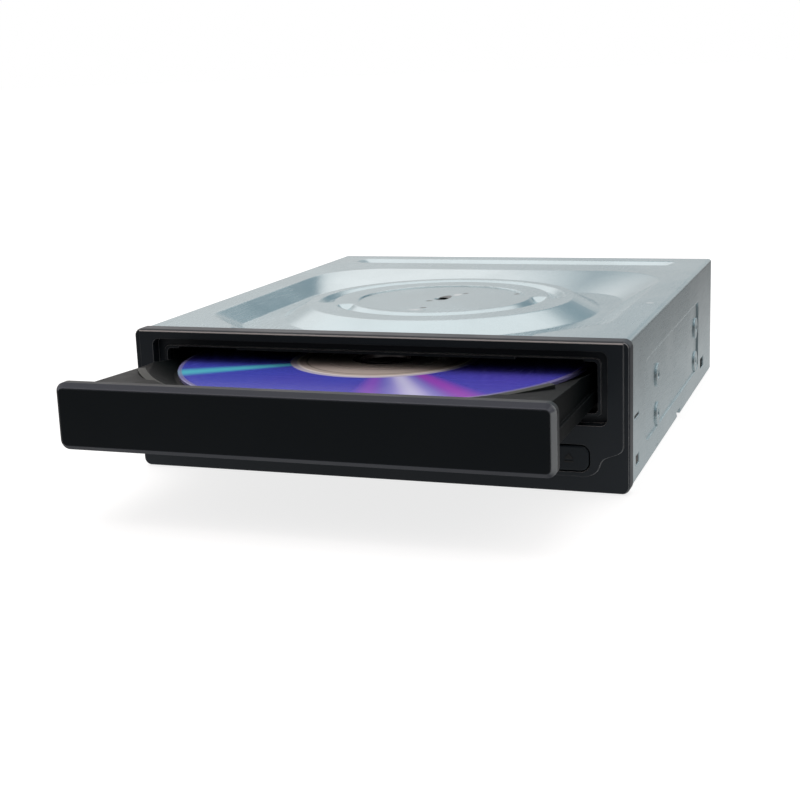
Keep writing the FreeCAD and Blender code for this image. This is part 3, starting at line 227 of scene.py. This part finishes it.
def edge_group():
    """Rounds hard edges with a small radius, and masks them for rubbed wear and for a painted highlight where
    the edges catch light.
    """
    group, entry, leave = new_group(
        "soft_edges",
        [("Place", "NodeSocketVector", None), ("Radius", "NodeSocketFloat", 0.0003),
         ("Break Up", "NodeSocketFloat", 350.0)],
        [("Normal", "NodeSocketVector"), ("Mask", "NodeSocketFloat")])
    rounded = group.nodes.new("ShaderNodeBevel")
    rounded.samples = 6
    link(group, entry.outputs["Radius"], rounded.inputs["Radius"])
    shape = group.nodes.new("ShaderNodeNewGeometry")
    angle = group.nodes.new("ShaderNodeVectorMath")
    angle.operation = "DOT_PRODUCT"
    link(group, rounded.outputs[0], angle.inputs[0])
    link(group, shape.outputs["Normal"], angle.inputs[1])
    edge = ramp(group, angle.outputs["Value"], 0.98, 0.80)
    patchy = noise(group, entry.outputs["Place"], entry.outputs["Break Up"], 3.0, 0.6)
    wear_and_sheen = math_node(group, "MULTIPLY", edge, ramp(group, patchy, 0.25, 0.6))
    link(group, rounded.outputs[0], leave.inputs["Normal"])
    link(group, wear_and_sheen, leave.inputs["Mask"])
    return group


def dust_group():
    """Thin dust that lies on faces that look up."""
    group, entry, leave = new_group(
        "light_dust",
        [("Place", "NodeSocketVector", None), ("Amount", "NodeSocketFloat", 0.15)],
        [("Mask", "NodeSocketFloat")])
    shape = group.nodes.new("ShaderNodeNewGeometry")
    split = group.nodes.new("ShaderNodeSeparateXYZ")
    link(group, shape.outputs["Normal"], split.inputs[0])
    up = ramp(group, split.outputs["Z"], 0.6, 1.0)
    spots = ramp(group, noise(group, entry.outputs["Place"], 900.0, 4.0, 0.7), 0.55, 0.8)
    lying = math_node(group, "MULTIPLY", up, spots)
    link(group, math_node(group, "MULTIPLY", lying, entry.outputs["Amount"]), leave.inputs["Mask"])
    return group


GRAIN = grain_group()
EDGE = edge_group()
DUST = dust_group()


def use_group(tree, group, place, **values):
    """Places a shared effect in a material with its own values."""
    node = tree.nodes.new("ShaderNodeGroup")
    node.node_tree = group
    link(tree, place, node.inputs["Place"])
    for title, value in values.items():
        node.inputs[title.replace("_", " ")].default_value = value
    return node


def start_material(name):
    """A new material, its tree, its shader and the object's own coordinates."""
    material = bpy.data.materials.new(name)
    material.use_nodes = True
    tree = material.node_tree
    shader = tree.nodes["Principled BSDF"]
    place = tree.nodes.new("ShaderNodeTexCoord").outputs["Object"]
    return material, tree, shader, place


def shaded(colour, share):
    """A colour made darker or paler."""
    return tuple(min(1.0, part * share) for part in colour)


def bump(tree, shader, height, strength, distance, normal=None):
    """Small relief on the shader's normal, over a rounded normal if one is given."""
    node = tree.nodes.new("ShaderNodeBump")
    node.inputs["Strength"].default_value = strength
    node.inputs["Distance"].default_value = distance
    link(tree, height, node.inputs["Height"])
    if normal is not None:
        link(tree, normal, node.inputs["Normal"])
    link(tree, node.outputs["Normal"], shader.inputs["Normal"])


def glints(tree, radius):
    """Painted highlights along an outer edge, as soft masks: slopes up or down, slopes to the right, a top
    line and a right line.
    """
    rounded = tree.nodes.new("ShaderNodeBevel")
    rounded.samples = 6
    rounded.inputs["Radius"].default_value = radius
    split = tree.nodes.new("ShaderNodeSeparateXYZ")
    link(tree, rounded.outputs[0], split.inputs[0])
    x = split.outputs["X"]
    z = math_node(tree, "ABSOLUTE", split.outputs["Z"])
    front = ramp(tree, split.outputs["Y"], -0.15, -0.35)
    slope = math_node(tree, "MULTIPLY", ramp(tree, z, 0.25, 0.55), front)
    right = math_node(tree, "MULTIPLY", ramp(tree, x, 0.30, 0.85), front)
    lines = []
    for side in (split.outputs["Z"], x):
        line = math_node(tree, "MULTIPLY", ramp(tree, side, 0.16, 0.30), ramp(tree, side, 0.66, 0.48))
        line = math_node(tree, "MULTIPLY", line, ramp(tree, split.outputs["Y"], -0.5, -0.7))
        lines.append(line)
    return (slope, right, *lines)


def moulded_plastic(name, colour, wear_and_sheen, rough=0.42, grain=5200.0, edge=0.25 * MM, specular=0.5,
                    glint_radius=None, glint_colours=(), painted_shade_behind=None):
    """Textured moulded plastic, a trace of dust, paler edges of rubbed wear and painted highlight, a painted
    glint colour for each mask of glints, and painted shade behind a given depth.
    """
    material, tree, shader, place = start_material(name)
    grain_node = use_group(tree, GRAIN, place, Grain_Scale=grain, Patch_Scale=60.0)
    edge_node = use_group(tree, EDGE, place, Radius=edge)
    dust_node = use_group(tree, DUST, place, Amount=0.05)
    # The edge mask paints wear and a highlight together: edges turn paler where they are rubbed and where
    # they catch light.
    base = mix_colour(tree, edge_node.outputs["Mask"], colour, wear_and_sheen)
    # Painted highlights: each glint colour lightens its chamfers, fillets and edge lines as if light caught
    # them.
    if glint_radius is not None:
        for mask, tone in zip(glints(tree, glint_radius), glint_colours):
            if tone is not None:
                base = mix_colour(tree, mask, base, tone)
    # Painted shade: behind the given depth the face turns to DEEP_SHADE, the shade deep in the recess.
    if painted_shade_behind is not None:
        split = tree.nodes.new("ShaderNodeSeparateXYZ")
        link(tree, place, split.inputs[0])
        inside = ramp(tree, split.outputs["Y"], painted_shade_behind, painted_shade_behind + 0.8 * MM)
        base = mix_colour(tree, inside, base, DEEP_SHADE)
    base = mix_colour(tree, dust_node.outputs["Mask"], base, DUST_COLOUR)
    link(tree, base, shader.inputs["Base Color"])
    link(tree, ramp(tree, grain_node.outputs["Patches"], 0.0, 1.0, rough - 0.03, rough + 0.04),
         shader.inputs["Roughness"])
    shader.inputs["Specular IOR Level"].default_value = specular
    bump(tree, shader, grain_node.outputs["Height"], 0.25, 0.04 * MM, edge_node.outputs["Normal"])
    return material


# Painted shade and painted highlights for small punched and pressed marks on the cover's top: dark spots
# stand in for the holes and the shaded sides of pressings, pale spots for their highlights. In millimetres:
# place from the spindle, half sizes, colour and share.
COVER_MARK_LIGHT_AND_SHADE = (
    (0.6, 1.8, 1.9, 5.0, (0.004, 0.006, 0.006), 1.0),
    (2.9, 8.5, 1.3, 2.2, (0.90, 0.93, 0.94), 0.7),
    (4.8, 11.5, 0.9, 1.6, (0.10, 0.12, 0.12), 0.7),
    (-2.6, -4.5, 1.2, 1.6, (0.16, 0.19, 0.19), 0.7),
    (-0.2, -17.9, 1.1, 1.2, (0.08, 0.10, 0.10), 0.8),
    (-1.0, -21.8, 2.6, 1.4, (0.90, 0.93, 0.94), 0.5),
    (22.0, 12.1, 0.9, 1.4, (0.14, 0.16, 0.16), 0.7),
    (68.0, -2.5, 1.2, 1.2, (0.92, 0.95, 0.96), 0.6),
)


def paint_mark_light_and_shade(tree, place, base, light_and_shade_spots):
    """Paints small oval spots of shade and highlight on the faces at the cover's top, for its holes and
    pressings.
    """
    split = tree.nodes.new("ShaderNodeSeparateXYZ")
    link(tree, place, split.inputs[0])
    top = ramp(tree, split.outputs["Z"], TOP_Z - 1.0 * MM, TOP_Z - 0.8 * MM)
    for x, y, half_x, half_y, colour, share in light_and_shade_spots:
        away_y = -(SPINDLE_Y / MM + y) / half_y
        across = math_node(tree, "MULTIPLY_ADD", split.outputs["X"], 1.0 / (half_x * MM), -x / half_x)
        along = math_node(tree, "MULTIPLY_ADD", split.outputs["Y"], 1.0 / (half_y * MM), away_y)
        away = math_node(tree, "ADD", math_node(tree, "MULTIPLY", across, across),
                         math_node(tree, "MULTIPLY", along, along))
        shown = math_node(tree, "MULTIPLY", top, share)
        spot = math_node(tree, "MULTIPLY", ramp(tree, away, 1.3, 0.6), shown)
        base = mix_colour(tree, spot, base, colour)
    return base


def underside_shade_mask(tree, place):
    """1 on the cover's faces that look down into the drive, where the underside gets painted shade."""
    shape = tree.nodes.new("ShaderNodeNewGeometry")
    facing = tree.nodes.new("ShaderNodeSeparateXYZ")
    link(tree, shape.outputs["Normal"], facing.inputs[0])
    split = tree.nodes.new("ShaderNodeSeparateXYZ")
    link(tree, place, split.inputs[0])
    down = ramp(tree, facing.outputs["Z"], -0.2, -0.5)
    high = ramp(tree, split.outputs["Z"], TOP_Z - 12.0 * MM, TOP_Z - 10.0 * MM)
    return math_node(tree, "MULTIPLY", down, high)


def rolled_steel(name, colour, rough, light_and_shade_spots=()):
    """Zinc-coated sheet: fine rolling lines along the sheet and a soft clouded finish."""
    material, tree, shader, place = start_material(name)
    lines = noise(tree, place, 900.0, 3.0, 0.6, (6.0, 0.12, 6.0))
    clouds = noise(tree, place, 38.0, 4.0, 0.55)
    grain_node = use_group(tree, GRAIN, place, Grain_Scale=2600.0, Patch_Scale=24.0)
    edge_node = use_group(tree, EDGE, place, Radius=1.0 * MM)
    base = mix_colour(tree, ramp(tree, clouds, 0.3, 0.7), shaded(colour, 0.952), shaded(colour, 1.03))
    # Paler edges: rubbed wear and a painted highlight where the sheet's edges and creases catch light.
    base = mix_colour(tree, edge_node.outputs["Mask"], base, shaded(colour, 1.25))
    # Painted shade and highlights of the cover's holes and pressings.
    if light_and_shade_spots:
        base = paint_mark_light_and_shade(tree, place, base, light_and_shade_spots)
        # Painted shade: the cover's underside, which looks into the drive, is turned nearly black.
        base = mix_colour(tree, underside_shade_mask(tree, place), base, UNDERSIDE_SHADE)
    link(tree, base, shader.inputs["Base Color"])
    shader.inputs["Metallic"].default_value = 1.0
    rough_value = math_node(tree, "ADD", ramp(tree, lines, 0.2, 0.8, rough - 0.05, rough + 0.05),
                            ramp(tree, grain_node.outputs["Patches"], 0.0, 1.0, -0.02, 0.03))
    link(tree, rough_value, shader.inputs["Roughness"])
    bump(tree, shader, lines, 0.04, 0.03 * MM, edge_node.outputs["Normal"])
    return material


def polished_metal(name, colour, rough):
    """Turned, ground or plated metal with a slightly uneven shine, and paler edges of rubbed wear and painted
    highlight.
    """
    material, tree, shader, place = start_material(name)
    grain_node = use_group(tree, GRAIN, place, Grain_Scale=3000.0, Patch_Scale=200.0)
    edge_node = use_group(tree, EDGE, place, Radius=0.1 * MM)
    base = mix_colour(tree, edge_node.outputs["Mask"], colour, shaded(colour, 1.2))
    link(tree, base, shader.inputs["Base Color"])
    shader.inputs["Metallic"].default_value = 1.0
    link(tree, ramp(tree, grain_node.outputs["Patches"], 0.0, 1.0, rough - 0.04, rough + 0.06),
         shader.inputs["Roughness"])
    bump(tree, shader, grain_node.outputs["Height"], 0.08, 0.02 * MM, edge_node.outputs["Normal"])
    return material


# Streaks of light on the disc: direction and half width in degrees, share and colour.
DISC_STREAKS = (
    (-150.0, 7.0, 0.9, (0.13, 0.70, 0.84)),
    (-76.0, 7.0, 0.7, (0.36, 0.12, 0.66)),
    (-62.0, 14.0, 0.85, (0.50, 0.46, 0.90)),
    (-62.0, 6.0, 0.8, (0.72, 0.72, 0.98)),
    (-49.5, 7.0, 0.8, (0.44, 0.08, 0.60)),
)

# Rings of the disc, from the outer to the inner: inner and outer radius in millimetres, share and colour.
DISC_RINGS = (
    (0.0, 27.6, 1.0, (0.62, 0.58, 0.72)),
    (0.0, 25.8, 1.0, (0.98, 0.90, 0.86)),
    (0.0, 25.0, 1.0, (0.60, 0.52, 0.47)),
    (22.6, 23.2, 0.5, (0.10, 0.09, 0.08)),
    (0.0, 9.5, 0.95, (0.035, 0.033, 0.035)),
)


def disc_surface():
    """A recordable disc, dye side up: violet dye, streaks of light, pale and dark inner rings."""
    material, tree, shader, place = start_material("disc_surface")
    mapping = tree.nodes.new("ShaderNodeMapping")
    mapping.inputs["Location"].default_value = (0.0, -DISC_Y, 0.0)
    link(tree, place, mapping.inputs["Vector"])
    split = tree.nodes.new("ShaderNodeSeparateXYZ")
    link(tree, mapping.outputs[0], split.inputs[0])
    x = split.outputs["X"]
    y = split.outputs["Y"]
    squares = math_node(tree, "ADD", math_node(tree, "MULTIPLY", x, x), math_node(tree, "MULTIPLY", y, y))
    radius = math_node(tree, "SQRT", squares)
    angle = math_node(tree, "ARCTAN2", y, x)
    base = mix_colour(tree, ramp(tree, noise(tree, place, 20.0, 2.0), 0.3, 0.7), DISC_VIOLET, DISC_INDIGO)
    for towards, half_width, share, colour in DISC_STREAKS:
        off = math_node(tree, "ABSOLUTE", math_node(tree, "SUBTRACT", angle, math.radians(towards)))
        streak = ramp(tree, off, math.radians(half_width), 0.0)
        base = mix_colour(tree, math_node(tree, "MULTIPLY", streak, share), base, colour)
    for low, high, share, colour in DISC_RINGS:
        beyond = ramp(tree, radius, (low - 0.1) * MM, (low + 0.1) * MM)
        within = ramp(tree, radius, (high + 0.3) * MM, (high - 0.3) * MM)
        band = math_node(tree, "MULTIPLY", beyond, within)
        base = mix_colour(tree, math_node(tree, "MULTIPLY", band, share), base, colour)
    outer = ramp(tree, radius, 58.6 * MM, 59.0 * MM)
    base = mix_colour(tree, math_node(tree, "MULTIPLY", outer, 0.7), base, (0.30, 0.28, 0.42))
    # Other rays than the camera's see the disc dark, so it throws no violet bounce light onto the parts
    # around it.
    path = tree.nodes.new("ShaderNodeLightPath")
    base = mix_colour(tree, path.outputs["Is Camera Ray"], (0.05, 0.05, 0.06), base)
    link(tree, base, shader.inputs["Base Color"])
    shader.inputs["Metallic"].default_value = 0.12
    rings = math_node(tree, "SINE", math_node(tree, "MULTIPLY", radius, 9000.0))
    link(tree, ramp(tree, rings, -1.0, 1.0, 0.20, 0.24), shader.inputs["Roughness"])
    shader.inputs["Coat Weight"].default_value = 0.5
    shader.inputs["Coat Roughness"].default_value = 0.06
    bump(tree, shader, rings, 0.04, 0.01 * MM)
    return material


def board_surface():
    """Green solder mask over a faint net of copper tracks."""
    material, tree, shader, place = start_material("board_surface")
    brick = tree.nodes.new("ShaderNodeTexBrick")
    brick.inputs["Scale"].default_value = 260.0
    brick.inputs["Mortar Size"].default_value = 0.03
    brick.inputs["Color1"].default_value = (0.010, 0.085, 0.035, 1)
    brick.inputs["Color2"].default_value = (0.014, 0.10, 0.042, 1)
    brick.inputs["Mortar"].default_value = (0.03, 0.16, 0.07, 1)
    link(tree, place, brick.inputs["Vector"])
    grain_node = use_group(tree, GRAIN, place, Grain_Scale=1500.0, Patch_Scale=90.0)
    patches = math_node(tree, "MULTIPLY", grain_node.outputs["Patches"], 0.4)
    base = mix_colour(tree, patches, brick.outputs["Color"], (0.012, 0.07, 0.03))
    link(tree, base, shader.inputs["Base Color"])
    link(tree, ramp(tree, grain_node.outputs["Patches"], 0.0, 1.0, 0.30, 0.40), shader.inputs["Roughness"])
    bump(tree, shader, brick.outputs["Fac"], 0.3, 0.03 * MM)
    return material


def clear_plastic(name, colour):
    """Clear light pipe plastic with a faint unevenness."""
    material, tree, shader, place = start_material(name)
    grain_node = use_group(tree, GRAIN, place, Grain_Scale=1200.0, Patch_Scale=300.0)
    patches = math_node(tree, "MULTIPLY", grain_node.outputs["Patches"], 0.2)
    base = mix_colour(tree, patches, colour, shaded(colour, 0.85))
    link(tree, base, shader.inputs["Base Color"])
    shader.inputs["Roughness"].default_value = 0.12
    shader.inputs["Transmission Weight"].default_value = 0.75
    shader.inputs["IOR"].default_value = 1.49
    return material


def coated_glass():
    """The lens's glass with its violet coating."""
    material, tree, shader, place = start_material("coated_glass")
    grain_node = use_group(tree, GRAIN, place, Grain_Scale=1200.0, Patch_Scale=400.0)
    base = mix_colour(tree, grain_node.outputs["Patches"], (0.25, 0.30, 0.70), (0.32, 0.30, 0.62))
    link(tree, base, shader.inputs["Base Color"])
    shader.inputs["Roughness"].default_value = 0.05
    shader.inputs["Transmission Weight"].default_value = 0.5
    shader.inputs["Coat Weight"].default_value = 0.8
    return material


def make_materials():
    """Every finish, with the CAD nodes that wear it."""
    steel = rolled_steel("zinc_steel", ZINC, 0.225)
    cover = rolled_steel("cover_steel", ZINC, 0.225, COVER_MARK_LIGHT_AND_SHADE)
    bright = polished_metal("bright_steel", (0.62, 0.63, 0.65), 0.28)
    motor = polished_metal("motor_steel", (0.56, 0.57, 0.58), 0.30)
    sled = polished_metal("sled_metal", (0.50, 0.51, 0.53), 0.42)
    gold = polished_metal("contact_gold", (0.83, 0.60, 0.22), 0.22)
    # Painted highlights on the door's chamfers: up and down slopes, the right slope and a top line.
    door = moulded_plastic(
        "door_black", DOOR_FACE, (0.03, 0.033, 0.038), 0.40, specular=0.25, glint_radius=0.7 * MM,
        glint_colours=((0.042, 0.048, 0.062), (0.40, 0.42, 0.43), (0.105, 0.112, 0.132), None))
    # Painted highlights along the bezel's top and right fillets, and painted shade deep in its recess.
    bezel = moulded_plastic(
        "bezel_black", BEZEL_FACE, (0.11, 0.115, 0.12), 0.40, edge=0.4 * MM, specular=0.3,
        glint_radius=0.3 * MM, glint_colours=(None, None, (0.50, 0.47, 0.46), (0.46, 0.47, 0.48)),
        painted_shade_behind=RECESS_FLOOR_Y + 0.9 * MM)
    # Painted shade deep in the recess behind the button's face.
    button = moulded_plastic(
        "button_black", BUTTON_FACE, (0.035, 0.04, 0.045), 0.40, edge=0.4 * MM, specular=0.2,
        painted_shade_behind=RECESS_FLOOR_Y + 0.4 * MM)
    inner = moulded_plastic(
        "black_plastic", (0.0022, 0.0036, 0.0040), (0.030, 0.036, 0.036), 0.45, edge=0.4 * MM, specular=0.10)
    frame_black = moulded_plastic(
        "frame_plastic", (0.006, 0.006, 0.007), (0.02, 0.02, 0.022), 0.55, specular=0.25)
    natural = moulded_plastic("gear_plastic", (0.70, 0.69, 0.64), (0.80, 0.79, 0.76), 0.38, 3000.0)
    dark_gear = moulded_plastic("dark_gear_plastic", (0.035, 0.036, 0.04), (0.08, 0.08, 0.09))
    rubber = moulded_plastic("rubber_black", (0.012, 0.012, 0.012), (0.04, 0.04, 0.04), 0.75, 3500.0)
    chip = moulded_plastic("chip_black", (0.012, 0.012, 0.013), (0.04, 0.04, 0.04), 0.6, 4200.0)
    cream = moulded_plastic("socket_white", (0.72, 0.69, 0.60), (0.8, 0.78, 0.72), 0.45, 3000.0)
    tan = moulded_plastic("part_tan", (0.36, 0.26, 0.16), (0.5, 0.42, 0.3), 0.5, 3000.0)
    magnet = moulded_plastic("magnet_grey", (0.06, 0.06, 0.065), (0.12, 0.12, 0.12), 0.5, 2500.0)
    board = board_surface()
    lens = coated_glass()
    pipe = clear_plastic("clear_lens", (0.85, 0.90, 0.86))
    disc = disc_surface()
    return {
        steel: ("bottom_cover", "clamp_bridge"),
        cover: ("top_cover",),
        bright: ("cover_screws", "board_screws", "motor_screws", "bridge_screws", "traverse_frame",
                 "guide_rods", "lead_screw", "spindle_base", "lens_cover", "motor_pulley", "clamp_yoke"),
        door: ("tray_door",),
        bezel: ("front_bezel",),
        button: ("eject_button",),
        inner: ("disc_tray", "serial_socket"),
        frame_black: ("main_frame", "front_board_clips"),
        natural: ("drive_gear", "pulley_gear", "cam_slider", "lead_nut", "hub_balls"),
        dark_gear: ("turntable", "clamper", "lens_mount"),
        rubber: ("loading_belt", "traverse_dampers", "turntable_pad"),
        chip: ("control_chip", "driver_chip", "memory_chip"),
        cream: ("ribbon_sockets", "eject_switch"),
        tan: ("small_parts",),
        magnet: ("clamp_magnet",),
        motor: ("loading_motor", "sled_motor", "spindle_rotor"),
        sled: ("pickup_sled",),
        gold: ("contact_rows",),
        board: ("circuit_board", "front_board"),
        lens: ("objective_lens",),
        pipe: ("led_lens", "status_light"),
        disc: ("disc",),
    }


def dress(materials):
    """Puts each finish into every slot of its nodes."""
    for material, names in materials.items():
        for name in names:
            mesh = NODES[name].data
            if not mesh.materials:
                mesh.materials.append(material)
            for i in range(len(mesh.materials)):
                mesh.materials[i] = material


def studio_world():
    """White to the camera; what the drive mirrors is a grey room with a bright ceiling."""
    world = bpy.data.worlds.new("studio")
    bpy.context.scene.world = world
    world.use_nodes = True
    tree = world.node_tree
    background = tree.nodes["Background"]
    towards = tree.nodes.new("ShaderNodeTexCoord").outputs["Generated"]
    split = tree.nodes.new("ShaderNodeSeparateXYZ")
    link(tree, towards, split.inputs[0])
    x, y, z = split.outputs
    behind = ramp(tree, y, 0.3, 0.9, SIDE_LIGHT, BACK_LIGHT)
    front = ramp(tree, y, -0.1, -0.7, 1.0, FRONT_SHARE)
    right_part = ramp(tree, x, -0.27, -0.19)
    band = math_node(tree, "MULTIPLY", ramp(tree, z, 0.24, 0.30), ramp(tree, z, 0.60, 0.54))
    band = math_node(tree, "MULTIPLY", band, right_part)
    above = mix_colour(tree, right_part, ramp(tree, z, 0.29, 0.38), ramp(tree, z, 0.56, 0.64))
    level = mix_colour(tree, band, behind, BAND_LIGHT)
    level = mix_colour(tree, above, level, TOP_LIGHT)
    level = mix_colour(tree, 1.0, level, front, "MULTIPLY")
    path = tree.nodes.new("ShaderNodeLightPath")
    shown = mix_colour(tree, path.outputs["Is Camera Ray"], level, (1.0, 1.0, 1.0))
    link(tree, shown, background.inputs["Color"])


def lay_floor():
    """A white floor without end; mirrored in the drive it looks grey, paler close to the case."""
    bpy.ops.mesh.primitive_plane_add(size=200.0, location=(0, 0, cad_box[0][2] - 0.0002))
    floor = bpy.context.object
    floor.name = "floor"
    material, tree, shader, place = start_material("floor_white")
    path = tree.nodes.new("ShaderNodeLightPath")
    split = tree.nodes.new("ShaderNodeSeparateXYZ")
    link(tree, place, split.inputs[0])
    beside = math_node(tree, "SUBTRACT", math_node(tree, "ABSOLUTE", split.outputs["X"]), case_high.x)
    before = math_node(tree, "SUBTRACT", door_low.y, split.outputs["Y"])
    away = math_node(tree, "MAXIMUM", beside, before)
    mirrored = ramp(tree, away, 0.0, 0.055, FLOOR_NEAR, FLOOR_FAR)
    shade = ramp(tree, noise(tree, place, 3.0), 0.3, 0.7, 0.97, 1.0)
    white = mix_colour(tree, path.outputs["Is Camera Ray"], (0.10, 0.10, 0.10), (0.30, 0.30, 0.30))
    glow = mix_colour(tree, path.outputs["Is Camera Ray"], mirrored, (FLOOR_GLOW,) * 3)
    link(tree, mix_colour(tree, 1.0, white, shade, "MULTIPLY"), shader.inputs["Base Color"])
    link(tree, glow, shader.inputs["Emission Color"])
    shader.inputs["Emission Strength"].default_value = 1.0
    shader.inputs["Roughness"].default_value = 0.9
    shader.inputs["Specular IOR Level"].default_value = 0.0
    floor.data.materials.append(material)


def hang_light():
    """A broad soft light from above that leaves no glint."""
    sun = bpy.data.lights.new("broad_light", "SUN")
    sun.energy = SUN_POWER
    sun.angle = math.radians(50.0)
    lamp = bpy.data.objects.new("broad_light", sun)
    lamp.rotation_euler = (math.radians(-12.0), math.radians(-10.0), 0.0)
    lamp.visible_glossy = False
    bpy.context.scene.collection.objects.link(lamp)


def new_piece(name, material, body):
    """Names the object just modelled, clears its transforms and hands it to the body that carries it."""
    piece = bpy.context.object
    piece.name = name
    bpy.ops.object.transform_apply(location=True, rotation=True, scale=True)
    bpy.ops.object.shade_smooth_by_angle(angle=math.radians(35.0))
    piece.data.materials.append(material)
    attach(piece, body)
    bpy.ops.object.select_all(action="DESELECT")
    return piece


def eject_mark(material):
    """The eject sign on the button, almost flush with it: an arrow head over a bar."""
    thick = 0.3 * MM
    low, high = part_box("eject_button")
    x = (low.x + high.x) / 2.0
    z = (low.z + high.z) / 2.0
    y = low.y + 0.05 * MM
    bpy.ops.mesh.primitive_cube_add(size=1.0, location=(x, y, z - 0.95 * MM))
    bar = bpy.context.object
    bar.scale = (2.6 * MM, thick, 0.5 * MM)
    bpy.ops.mesh.primitive_cylinder_add(vertices=3, radius=1.5 * MM, depth=thick,
                                        location=(x, y, z + 0.35 * MM), rotation=(math.pi / 2.0, 0.0, 0.0))
    head = bpy.context.object
    head.scale = (1.0, 0.75, 1.0)
    bar.select_set(True)
    bpy.ops.object.join()
    return new_piece("eject_mark", material, "eject_key")


def pocket_rib(name, start, material):
    """A raised rib at a front corner of the disc pocket, swept clockwise and rising away from the door."""
    angle = math.radians(start)
    spot = (RIB_R * math.cos(angle), DISC_Y + RIB_R * math.sin(angle), DECK_Z - RIB_SINK)
    bpy.ops.mesh.primitive_plane_add(size=1.0, location=spot, rotation=(math.pi / 2.0, 0.0, angle))
    rib = bpy.context.object
    rib.scale = (RIB_WIDE, RIB_TALL, 1.0)
    bpy.ops.object.transform_apply(location=True, rotation=True, scale=True)
    bpy.ops.object.mode_set(mode="EDIT")
    bpy.ops.mesh.select_all(action="SELECT")
    bpy.ops.mesh.spin(steps=16, angle=math.radians(RIB_TURN), center=(0.0, DISC_Y, 0.0), axis=(0.0, 0.0, 1.0))
    bpy.ops.mesh.select_all(action="SELECT")
    bpy.ops.mesh.fill_holes(sides=4)
    bpy.ops.mesh.normals_make_consistent(inside=False)
    bpy.ops.object.mode_set(mode="OBJECT")
    pivot = Vector((0.0, DISC_Y + RIB_R * math.sin(math.radians(RIB_FRONT_ANGLE)), DECK_Z))
    rib.rotation_euler = (RIB_TILT, 0.0, 0.0)
    rib.location = pivot - Matrix.Rotation(RIB_TILT, 3, "X") @ pivot
    return new_piece(name, material, "tray")


place_camera()
dress(make_materials())
eject_mark(moulded_plastic("mark_dark", (0.006, 0.007, 0.008), (0.010, 0.011, 0.012), 0.5))
rib_black = moulded_plastic(
    "rib_black", (0.020, 0.024, 0.021), (0.16, 0.17, 0.155), edge=0.3 * MM, specular=0.2)
pocket_rib("pocket_rib_left", RIB_FRONT_ANGLE, rib_black)
pocket_rib("pocket_rib_right", 540.0 - RIB_FRONT_ANGLE + RIB_TURN, rib_black)
lay_floor()
studio_world()
hang_light()
bpy.context.scene.view_settings.view_transform = "Standard"
